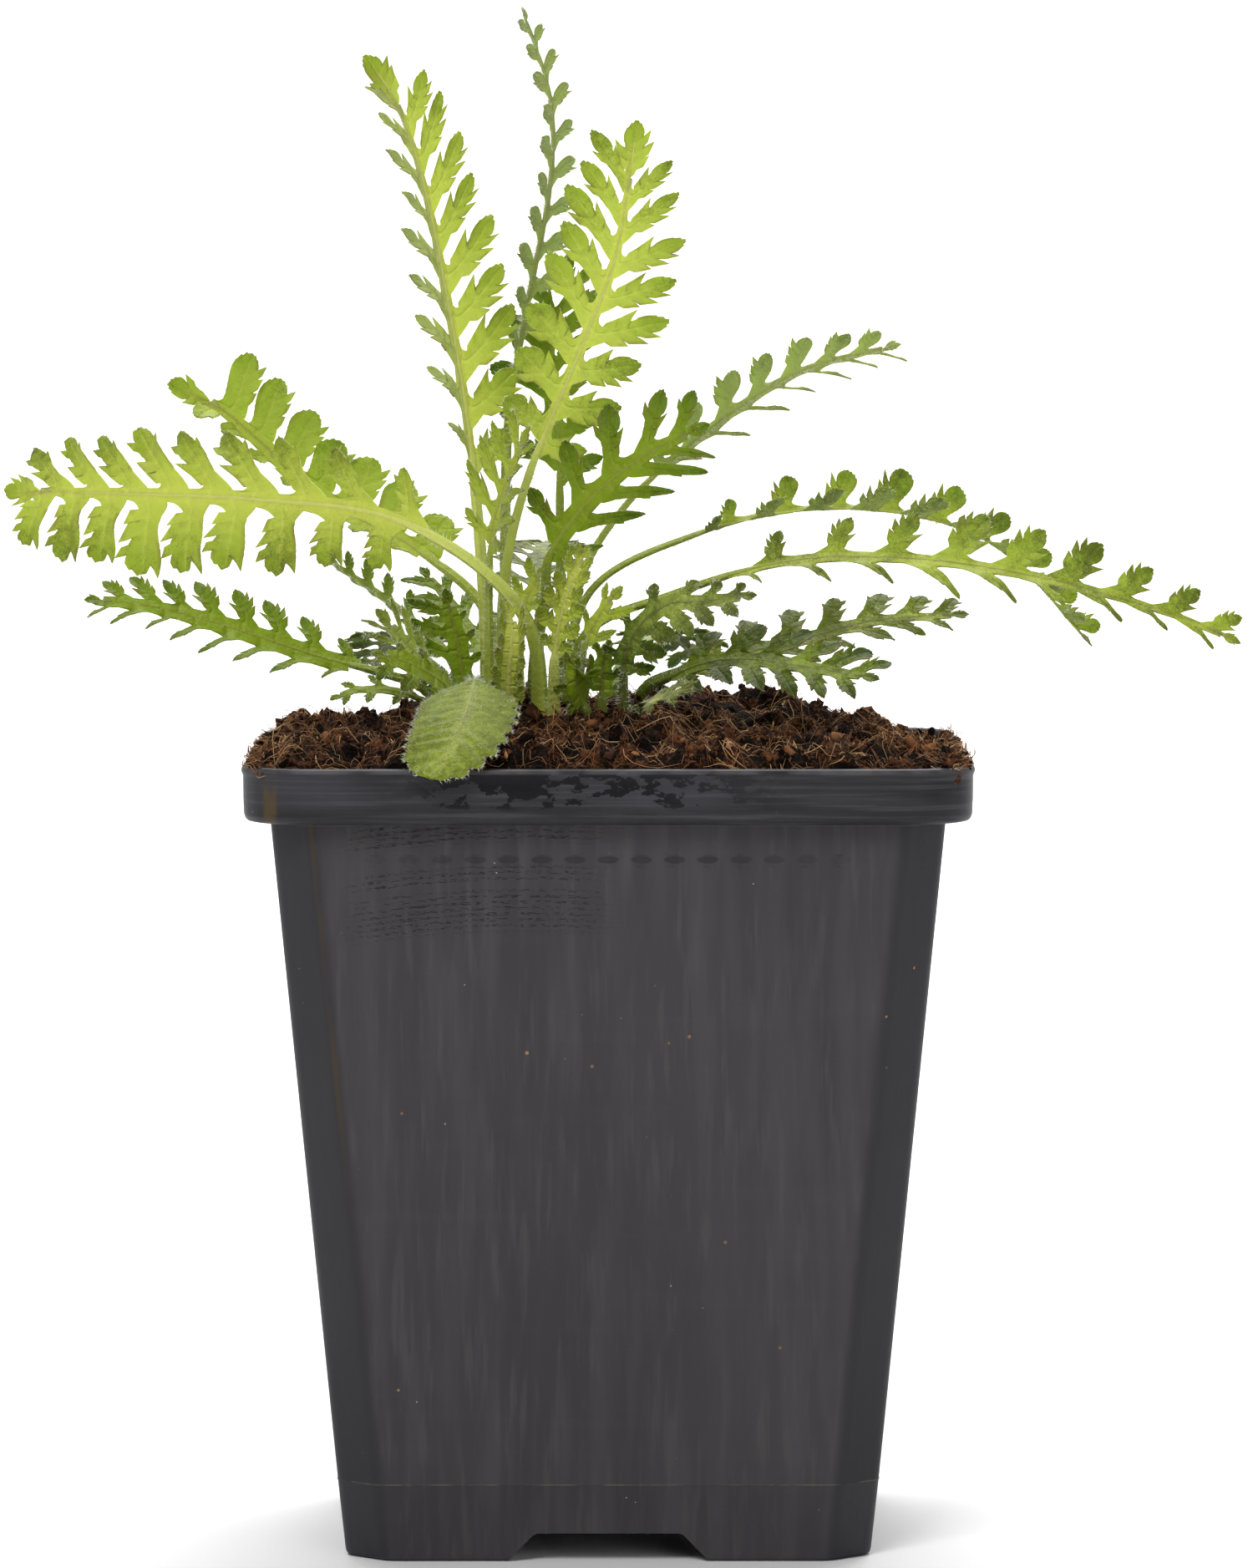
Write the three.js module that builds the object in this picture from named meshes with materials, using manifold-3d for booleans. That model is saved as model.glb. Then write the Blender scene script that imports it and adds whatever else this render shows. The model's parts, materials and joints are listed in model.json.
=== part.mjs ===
// A cloth of gold fernleaf yarrow, a rosette of fern-like leaves, in a square plastic nursery pot.
// Millimetres, +Z up. The origin is the middle of the pot's base, and -Y is the front.
import * as THREE from "three";
import { mergeVertices } from "three/addons/utils/BufferGeometryUtils.js";
import Module from "manifold-3d";

const wasm = await Module();
wasm.setup();

// The pot
const POT_HEIGHT = 122;
const RIM_HALF = 55.2;          // half the width over the rim band
const RIM_DROP = 8.6;           // height of the rim band
const RIM_CORNER = 11;          // corner radius of the rim band
const SHOULDER_HALF = 51.1;     // half the width just under the rim band
const FOOT_HALF = 40.3;         // half the width at the base
const CHAMFER = 6.3;            // leg of the flat strip down each corner
const CHAMFER_ROUND = 2;        // rounding on each side of that strip
const POT_WALL = 1.5;
const CHANNEL_HEIGHT = 4.4;     // the channels under the floor, which show as foot notches
const CHANNEL_TOP = 22.4;       // width of a channel at its top
const CHANNEL_BOTTOM = 29;      // width of a channel at the surface that the pot stands on
const DRAIN_RADIUS = 4;
const DRAIN_PLACES = [[0, 0], [24, 0], [-24, 0], [0, 24], [0, -24]];

// The soil and the rootstock
const GAP = 0.3;                // clearance between neighbouring pieces
const SOIL_EDGE = 121.2;        // height of the soil where it meets the wall
const SOIL_TOP = 124;           // height of the level soil
const SOIL_RIDGE = 3.6;         // how much higher it stands behind the plant
const SOIL_MOUND = 3;           // how much higher it stands round the rootstock
const SOIL_SHOULDER = 3.6;      // how far in from the wall the heap reaches its height
const SOIL_SIDE_POINTS = 11;
const SOIL_RINGS = 9;
const CROWN_LUMPS = [
  { at: [-14, 0, 120.5], size: [15, 13.5, 10.5] },
  { at: [3, -2, 120.5], size: [9, 11, 9.5] },
  { at: [-5, -5, 120.5], size: [9, 11, 9] },
];

// The leaves
const BLADE_HALF = 0.32;        // half the thickness of a leaflet
const WING_HALF = 1;            // half the width of the winged midrib where it is widest
const RIB_RISE = 0.5;           // how far the midrib stands up from the middle of the blade
const RIB_DEPTH = 0.9;          // how far it stands down
const STALK_HALF = 1.1;         // half the width of a leaf stalk at its foot
const STALK_STEPS = 4;
const TIP_TAPER = 0.35;         // thickness of the midrib at the tip, as a share of its foot's
const TIP_CROWDING = 0.15;      // how much closer leaflets stand near the tip
const ROOT_SHARE = 0.35;        // where a leaflet's axis starts in its stretch of midrib
const LEFT_SHIFT = 0.4;         // how much further on the left leaflets stand, in leaflet spacings
const BROAD_LIMIT = 0.45;       // greatest half width of a leaflet, in spacings, so that none touch
const LENGTH_SPREAD = 0.12;     // unevenness of the leaflets' lengths, as a share
const ANGLE_SPREAD = 4;         // of their angles, in degrees
const FOLD_SPREAD = 7;          // of how far they are raised and turned, in degrees
const LEFT_SALT = 5;            // makes the left leaflets differ from the right ones
const TOOTH_LENGTH = 0.9;       // of the undivided leaf's rounded teeth

const COLOURS = {
  pot: 0x444244,
  soil: 0x38241a,
  crown: 0x5a4630,
  bright: 0x9cb432,
  mid: 0x7a9a45,
  dark: 0x4c6a30,
  silver: 0xa3ad84,
};

// Geometry helpers

function plainGeometry(geometry) {
  const bare = geometry.clone();
  bare.deleteAttribute("normal");
  bare.deleteAttribute("uv");
  return mergeVertices(bare, 1e-4);
}

function toSolid(geometry) {
  const merged = plainGeometry(geometry);
  const vertProperties = new Float32Array(merged.attributes.position.array);
  const triVerts = new Uint32Array(merged.index.array);
  return new wasm.Manifold(new wasm.Mesh({ numProp: 3, vertProperties, triVerts }));
}

function toGeometry(solid) {
  const mesh = solid.getMesh();
  const geometry = new THREE.BufferGeometry();
  geometry.setAttribute("position", new THREE.BufferAttribute(new Float32Array(mesh.vertProperties), 3));
  geometry.setIndex(new THREE.BufferAttribute(new Uint32Array(mesh.triVerts), 1));
  return geometry;
}

function fromTriangles(points, faces) {
  const geometry = new THREE.BufferGeometry();
  geometry.setAttribute("position", new THREE.Float32BufferAttribute(points.flat(), 3));
  geometry.setIndex(faces.flat());
  return geometry;
}

// A closed solid through rings of equal length, capped with a fan at its first and last ring.
function loft(rings) {
  const count = rings[0].length;
  const points = rings.flat();
  const faces = [];
  for (let level = 0; level + 1 < rings.length; level += 1) {
    for (let i = 0; i < count; i += 1) {
      const a = level * count + i;
      const b = level * count + ((i + 1) % count);
      faces.push([a, b, b + count], [a, b + count, a + count]);
    }
  }
  const middle = (ring) => [0, 1, 2].map((axis) => ring.reduce((sum, p) => sum + p[axis], 0) / count);
  const low = points.push(middle(rings[0])) - 1;
  const high = points.push(middle(rings[rings.length - 1])) - 1;
  const top = (rings.length - 1) * count;
  for (let i = 0; i < count; i += 1) {
    const next = (i + 1) % count;
    faces.push([low, next, i], [high, top + i, top + next]);
  }
  return fromTriangles(points, faces);
}

function smooth(t) {
  const x = Math.min(Math.max(t, 0), 1);
  return x * x * (3 - 2 * x);
}

function mix(a, b, t) {
  return a + (b - a) * t;
}

// The pot

// One corner of the body's section, a flat strip with rounded edges, in the +X +Y quarter.
function chamferCorner(half) {
  const start = [half, half - CHAMFER - CHAMFER_ROUND];
  const bend = [half, half - CHAMFER];
  const strip = [half - CHAMFER * 0.25, half - CHAMFER * 0.75];
  const round = [0, 1].map((axis) => start[axis] / 4 + bend[axis] / 2 + strip[axis] / 4);
  const near = [start, round, strip];
  return [...near, ...near.map(([x, y]) => [y, x]).reverse()];
}

function roundCorner(half, radius) {
  return [0, 1, 2, 3, 4, 5].map((step) => {
    const angle = (step / 5) * (Math.PI / 2);
    return [half - radius + radius * Math.cos(angle), half - radius + radius * Math.sin(angle)];
  });
}

function squareRing(corner, z) {
  const quarters = [([x, y]) => [x, y], ([x, y]) => [-y, x], ([x, y]) => [-x, -y], ([x, y]) => [y, -x]];
  return quarters.flatMap((turn) => corner.map((p) => [...turn(p), z]));
}

function bodyHalf(z) {
  return mix(FOOT_HALF, SHOULDER_HALF, z / (POT_HEIGHT - RIM_DROP));
}

function makePot() {
  const band = POT_HEIGHT - RIM_DROP;
  const body = (z, inset) => squareRing(chamferCorner(bodyHalf(z) - inset), z);
  const rim = (z, inset) => squareRing(roundCorner(RIM_HALF - inset, RIM_CORNER - inset), z);
  const outside = loft([
    body(0, 0.9),
    body(0.9, 0),
    body(band, 0),
    rim(band + 0.4, 1.6),
    rim(band + 1.4, 0.3),
    rim(POT_HEIGHT - 1.4, 0),
    rim(POT_HEIGHT - 0.9, -0.3),
    rim(POT_HEIGHT, 0.1),
  ]);
  const inside = loft([
    body(POT_WALL, POT_WALL + 0.8),
    body(POT_WALL + 0.9, POT_WALL),
    body(band + 1.2, POT_WALL),
    rim(band + 2.2, POT_WALL + 0.6),
    rim(POT_HEIGHT + 1, POT_WALL),
  ]);
  const shell = toSolid(outside).subtract(toSolid(inside));
  const floor = channels(POT_WALL, 2 * FOOT_HALF).intersect(toSolid(outside));
  const walls = shell.add(floor).subtract(channels(0, 3 * FOOT_HALF));
  const middle = CHANNEL_HEIGHT + POT_WALL;
  return DRAIN_PLACES.reduce((solid, [x, y]) => {
    const drain = new THREE.CylinderGeometry(DRAIN_RADIUS, DRAIN_RADIUS, 2 * middle, 16);
    return solid.subtract(toSolid(drain.rotateX(Math.PI / 2).translate(x, y, middle)));
  }, walls);
}

// Two crossing channels under the floor, wider and higher by a wall. With no wall they reach below
// the pot, to be cut from it.
function channels(wall, length) {
  const low = CHANNEL_BOTTOM / 2 + wall;
  const high = CHANNEL_TOP / 2 + wall;
  const top = CHANNEL_HEIGHT + wall;
  const below = wall > 0 ? 0 : -1;
  const outline = new THREE.Shape([
    new THREE.Vector2(-low, below),
    new THREE.Vector2(low, below),
    new THREE.Vector2(high, top),
    new THREE.Vector2(-high, top),
  ]);
  const along = new THREE.ExtrudeGeometry(outline, { depth: length, bevelEnabled: false });
  along.translate(0, 0, -length / 2).rotateX(Math.PI / 2);
  const across = along.clone().rotateZ(Math.PI / 2);
  return toSolid(along).add(toSolid(across));
}

// The soil

// Height of the soil: it rises steeply from the wall to uneven ground, which is higher round the
// rootstock and behind the plant, and lowest at the back right corner.
function soilHeight(x, y) {
  const inward = RIM_HALF - POT_WALL - Math.max(Math.abs(x), Math.abs(y));
  const corner = smooth((x + y - 62) / 24);
  const ridge = SOIL_RIDGE * Math.exp(-(((x - 8) / 34) ** 2) - ((y - 26) / 15) ** 2);
  const mound = SOIL_MOUND * Math.exp(-(((x + 7) / 20) ** 2) - ((y + 3) / 14) ** 2);
  const heap = mix(SOIL_EDGE, SOIL_TOP + ridge + mound, smooth(inward / SOIL_SHOULDER));
  const lumps = 0.9 * Math.sin(0.41 * x + 1.1) * Math.cos(0.37 * y - 0.4)
    + 0.6 * Math.sin(0.83 * x - 0.51 * y + 2) + 0.4 * Math.sin(1.3 * y + 0.9 * x);
  const calm = 1 - (0.8 * mound) / SOIL_MOUND;
  return heap - 6.5 * corner + lumps * calm * smooth(inward / 3 + 0.3);
}

// How far a ray from the middle runs to the edge of a square with rounded corners.
function rayToEdge(ray, half, radius) {
  const [x, y] = ray.map(Math.abs);
  const flat = half / Math.max(x, y);
  const centre = half - radius;
  if (flat * Math.min(x, y) <= centre) {
    return flat;
  }
  const near = centre * (x + y);
  return near + Math.sqrt(near * near - 2 * centre * centre + radius * radius);
}

// A ring of evenly turned points on a square with rounded corners, at the height of each place.
function denseRing(half, radius, scale, height) {
  const points = [];
  const count = 4 * SOIL_SIDE_POINTS;
  for (let i = 0; i < count; i += 1) {
    const angle = ((i + 0.5) / count) * 2 * Math.PI;
    const ray = [Math.cos(angle), Math.sin(angle)];
    const length = scale * rayToEdge(ray, half, radius);
    const place = [ray[0] * length, ray[1] * length];
    points.push([...place, height(...place)]);
  }
  return points;
}

function makeSoil(crown) {
  const band = POT_HEIGHT - RIM_DROP;
  const inset = POT_WALL + GAP;
  const level = (z) => () => z;
  const body = (z, more) => denseRing(bodyHalf(z) - inset - more, 2 * CHAMFER, 1, level(z));
  const rimReach = RIM_HALF - inset - 0.6;
  const rings = [
    body(POT_WALL + GAP, 0.9),
    body(POT_WALL + 1.2, 0),
    body(band + 1.2, 0.2),
    denseRing(rimReach, RIM_CORNER, 1, level(band + 2.9)),
  ];
  for (let ring = 0; ring < SOIL_RINGS; ring += 1) {
    rings.push(denseRing(rimReach, RIM_CORNER, 1 - ring / SOIL_RINGS, soilHeight));
  }
  const drain = GAP + POT_WALL;
  return toSolid(loft(rings)).subtract(channels(drain, 2 * FOOT_HALF + 2)).subtract(crown);
}

// The rootstock: rounded lumps grown together, from which the leaf stalks come.
function makeCrown(grown) {
  const lumps = CROWN_LUMPS.map(({ at, size }) => {
    const lump = new THREE.SphereGeometry(1, 14, 8).rotateX(Math.PI / 2);
    return toSolid(lump.scale(...size.map((radius) => radius + grown)).translate(...at));
  });
  return lumps.reduce((solid, lump) => solid.add(lump));
}

// The leaves

// A steady, uneven number between -1 and 1, which makes leaflets differ.
function uneven(index, salt) {
  return Math.sin(index * 2.4 + salt * 1.7) * Math.cos(index * 1.3 + salt * 3.1);
}

// The midrib's place, direction, side and upper face at a fraction of its length.
function ribFrame(rib, up, at) {
  const place = rib.getPointAt(Math.min(Math.max(at, 0), 1));
  const along = rib.getTangentAt(Math.min(Math.max(at, 0), 1));
  const face = new THREE.Vector3(...up[0]).lerp(new THREE.Vector3(...up[1]), at);
  const side = new THREE.Vector3().crossVectors(along, face).normalize();
  const normal = new THREE.Vector3().crossVectors(side, along).normalize();
  return { place, along, side, normal };
}

// How long a leaflet is, as a share of the longest one, at a fraction of the blade.
function leafletShare(t, leaf) {
  const widest = 0.42;
  const end = t < widest ? leaf.foot : leaf.head;
  const away = t < widest ? (widest - t) / widest : (t - widest) / (1 - widest);
  return 1 - (1 - end) * away * away;
}

// The outline of one toothed leaflet, along its own axis and across it, as shares of its length
// and half width. It starts behind, at the lower side, and ends in front.
const LEAFLET_OUTLINE = [
  [0.2, -0.4], [0.48, -1], [0.58, -0.62], [0.84, -0.55], [1, 0.1], [0.66, 1], [0.24, 0.42],
];

// Triangles between a leaflet's two roots, 0 and 8, and the points of its outline between them.
const LEAFLET_FACES = [[0, 1, 7], [0, 7, 8], [1, 2, 3], [1, 3, 7], [3, 6, 7], [3, 4, 6], [4, 5, 6]];

// Half the width of the winged midrib at a fraction of the leaf's length. It widens out from the
// stalk and narrows to the tip.
function wingHalf(leaf, at) {
  const opening = THREE.MathUtils.smoothstep((at - leaf.stalk + 0.04) / 0.16, 0, 1);
  const closing = THREE.MathUtils.smoothstep((at - 0.6) / 0.4, 0, 1);
  return WING_HALF * leaf.wing * mix(0.6, 1, opening) * mix(1, 0.5, closing);
}

// A trait that may differ between the two sides is a pair, the right side's first.
function byHand(trait, hand) {
  return Array.isArray(trait) ? trait[hand > 0 ? 0 : 1] : trait;
}

// A leaflet's own directions: along its axis, across it towards the leaf's tip, and its upper face.
function leafletAxes(frame, hand, angle, fold, twist) {
  const outward = frame.side.clone().multiplyScalar(hand * Math.cos(fold))
    .addScaledVector(frame.normal, Math.sin(fold));
  const upper = frame.normal.clone().multiplyScalar(Math.cos(fold))
    .addScaledVector(frame.side, -hand * Math.sin(fold));
  const axis = frame.along.clone().multiplyScalar(Math.cos(angle))
    .addScaledVector(outward, Math.sin(angle));
  const flat = frame.along.clone().multiplyScalar(Math.sin(angle))
    .addScaledVector(outward, -Math.cos(angle));
  const across = flat.multiplyScalar(Math.cos(twist)).addScaledVector(upper, Math.sin(twist));
  return { axis, across, upper };
}

// The places of a leaflet's outline points. The hand is 1 on the right side and -1 on the left.
function leafletPoints(leaf, rib, hand, index, cellStart, cellEnd) {
  const t = (index + 0.5) / leaf.leaflets;
  const salt = leaf.salt + (hand > 0 ? 0 : LEFT_SALT);
  const radians = (degrees, spread, step) => (
    THREE.MathUtils.degToRad(degrees + spread * uneven(index, salt + step))
  );
  const share = leafletShare(t, leaf) * (hand > 0 ? leaf.right : leaf.left);
  const length = leaf.reach * share * (1 + LENGTH_SPREAD * uneven(index, salt));
  const [atFoot, atTip] = hand < 0 && leaf.leftAngle ? leaf.leftAngle : leaf.angle;
  const angle = radians(mix(atFoot, atTip, t), ANGLE_SPREAD, 1);
  const fold = radians(byHand(leaf.fold, hand), FOLD_SPREAD, 2);
  const twist = radians(byHand(leaf.twist, hand), FOLD_SPREAD, 3);
  const curl = radians(leaf.curl, 0, 0);
  const root = mix(cellStart, cellEnd, ROOT_SHARE);
  const spacing = (cellEnd - cellStart) * rib.getLength();
  const broad = Math.min(byHand(leaf.broad, hand) * length, BROAD_LIMIT * spacing * Math.sin(angle));
  const frame = ribFrame(rib, leaf.up, root);
  const start = frame.place.clone().addScaledVector(frame.side, hand * wingHalf(leaf, root));
  const { axis, across, upper } = leafletAxes(frame, hand, angle, fold, twist);
  return LEAFLET_OUTLINE.map(([far, out]) => {
    const bend = curl * far;
    return start.clone()
      .addScaledVector(axis, length * far * Math.cos(bend))
      .addScaledVector(upper, -length * far * Math.sin(bend))
      .addScaledVector(across, broad * out);
  });
}

function ribCurve(leaf) {
  return new THREE.CatmullRomCurve3(leaf.path.map((p) => new THREE.Vector3(...p)), false, "centripetal");
}

// Where a leaf has a section: evenly up its stalk, then one at each leaflet, closer near the tip.
function leafStations(leaf) {
  const stations = [];
  for (let step = 0; step < STALK_STEPS; step += 1) {
    stations.push((leaf.stalk * step) / STALK_STEPS);
  }
  for (let cell = 0; cell <= leaf.leaflets; cell += 1) {
    const t = cell / leaf.leaflets;
    stations.push(mix(leaf.stalk, 1, mix(t, 1 - (1 - t) ** 2, TIP_CROWDING)));
  }
  return stations;
}

// The middle surface of a leaf: a stalk, then a winged midrib with a leaflet on each side of every
// cell. The left leaflets stand a little further on. It gives points, each with its half thickness
// above and below, and triangles.
function leafSurface(leaf) {
  const rib = ribCurve(leaf);
  const points = [];
  const faces = [];
  const add = (place, above, below) => points.push({ place, above, below }) - 1;
  const addEdge = (place) => add(place, BLADE_HALF, BLADE_HALF);
  const stations = leafStations(leaf);
  const shift = (stations[STALK_STEPS + 1] - stations[STALK_STEPS]) * LEFT_SHIFT;
  const rows = stations.map((at, index) => {
    const frame = ribFrame(rib, leaf.up, at);
    const taper = mix(1, TIP_TAPER, at);
    const bare = index < STALK_STEPS;
    const last = index === stations.length - 1;
    const stalkHalf = STALK_HALF * leaf.stout * taper;
    const half = bare ? stalkHalf : wingHalf(leaf, at);
    const rise = bare ? stalkHalf : Math.max(RIB_RISE * taper, BLADE_HALF);
    const depth = bare ? stalkHalf : Math.max(RIB_DEPTH * taper, BLADE_HALF);
    const middle = add(frame.place, rise, depth);
    const edge = [1, -1].map((hand) => {
      const moved = hand < 0 && !bare && !last ? ribFrame(rib, leaf.up, at + shift) : frame;
      return addEdge(moved.place.clone().addScaledVector(moved.side, hand * half));
    });
    return { middle, edge };
  });
  rows.slice(1).forEach((row, index) => {
    const before = rows[index];
    const cell = index - STALK_STEPS;
    [1, -1].forEach((hand, slot) => {
      const wind = (a, b, c) => faces.push(hand > 0 ? [a, b, c] : [a, c, b]);
      wind(before.middle, before.edge[slot], row.edge[slot]);
      wind(before.middle, row.edge[slot], row.middle);
      if (cell >= 0) {
        const moved = hand < 0 ? shift : 0;
        const end = Math.min(stations[index + 1] + moved, 1);
        const outline = leafletPoints(leaf, rib, hand, cell, stations[index] + moved, end).map(addEdge);
        const ring = [before.edge[slot], ...outline, row.edge[slot]];
        LEAFLET_FACES.forEach(([a, b, c]) => wind(ring[a], ring[b], ring[c]));
      }
    });
  });
  return { points, faces };
}

// Gives a middle surface its thickness: both faces are split alike, and the edge is closed.
function thicken({ points, faces }) {
  const normals = points.map(() => new THREE.Vector3());
  faces.forEach(([a, b, c]) => {
    const ab = points[b].place.clone().sub(points[a].place);
    const ac = points[c].place.clone().sub(points[a].place);
    const normal = ab.cross(ac);
    [a, b, c].forEach((index) => normals[index].add(normal));
  });
  normals.forEach((normal) => normal.normalize());
  const above = points.map((p, i) => p.place.clone().addScaledVector(normals[i], p.above).toArray());
  const below = points.map((p, i) => p.place.clone().addScaledVector(normals[i], -p.below).toArray());
  const count = points.length;
  const shell = faces.flatMap(([a, b, c]) => [[a, b, c], [a + count, c + count, b + count]]);
  const key = (a, b) => `${a} ${b}`;
  const used = new Set(faces.flatMap(([a, b, c]) => [key(a, b), key(b, c), key(c, a)]));
  faces.forEach(([a, b, c]) => {
    [[a, b], [b, c], [c, a]].forEach(([from, to]) => {
      if (!used.has(key(to, from))) {
        shell.push([from, from + count, to + count], [from, to + count, to]);
      }
    });
  });
  return fromTriangles([...above, ...below], shell);
}

// Half the width of the undivided front leaf, as a share of its greatest half width.
function ovateShare(t) {
  return Math.sin(Math.PI * t ** 0.8) ** 0.75;
}

// The middle surface of the undivided leaf: ovate, with rounded teeth, on a short stalk.
function ovateSurface(leaf) {
  const rib = ribCurve(leaf);
  const lift = Math.sin(THREE.MathUtils.degToRad(leaf.fold));
  const points = [];
  const faces = [];
  const add = (place, above, below) => points.push({ place, above, below }) - 1;
  const addEdge = (frame, hand, half) => add(
    frame.place.clone().addScaledVector(frame.side, hand * half).addScaledVector(frame.normal, lift * half),
    BLADE_HALF,
    BLADE_HALF,
  );
  const foot = ribFrame(rib, leaf.up, 0);
  const rows = [{
    middle: add(foot.place, STALK_HALF, STALK_HALF),
    edge: [1, -1].map((hand) => addEdge(foot, hand, WING_HALF)),
  }];
  for (let cell = 0; cell <= leaf.leaflets; cell += 1) {
    const t = cell / leaf.leaflets;
    const frame = ribFrame(rib, leaf.up, mix(leaf.stalk, 1, t));
    const narrowest = cell === leaf.leaflets ? BLADE_HALF : WING_HALF;
    const half = Math.max(leaf.reach * ovateShare(t), narrowest);
    rows.push({
      middle: add(frame.place, RIB_RISE, RIB_DEPTH),
      edge: [1, -1].map((hand) => addEdge(frame, hand, half)),
    });
  }
  rows.slice(1).forEach((row, index) => {
    const before = rows[index];
    [1, -1].forEach((hand, slot) => {
      const wind = (a, b, c) => faces.push(hand > 0 ? [a, b, c] : [a, c, b]);
      wind(before.middle, before.edge[slot], row.edge[slot]);
      wind(before.middle, row.edge[slot], row.middle);
      if (index > 0) {
        const t = (index - 0.5) / leaf.leaflets;
        const tooth = ribFrame(rib, leaf.up, mix(leaf.stalk, 1, t));
        const tip = addEdge(tooth, hand, leaf.reach * ovateShare(t) + TOOTH_LENGTH);
        wind(before.edge[slot], tip, row.edge[slot]);
      }
    });
  });
  return { points, faces };
}

const LEAF_DEFAULTS = {
  stalk: 0.25,          // bare share of the length
  leaflets: 8,          // leaflets on each side
  reach: 10,            // length of the longest leaflet
  foot: 0.45,           // share of that length at the blade's foot
  head: 0.55,           // share of it at the tip
  right: 1,             // share of it on the right side
  left: 1,
  angle: [68, 38],      // between leaflet and midrib, at the foot and at the tip, in degrees
  fold: 12,             // how far both sides are raised
  curl: 12,             // how far a leaflet's tip hangs
  twist: 0,             // how far a leaflet turns about its own axis
  broad: 0.3,           // half width of a leaflet as a share of its length
  stout: 1,             // thickness of the stalk
  wing: 1.15,           // width of the winged midrib
};

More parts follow.
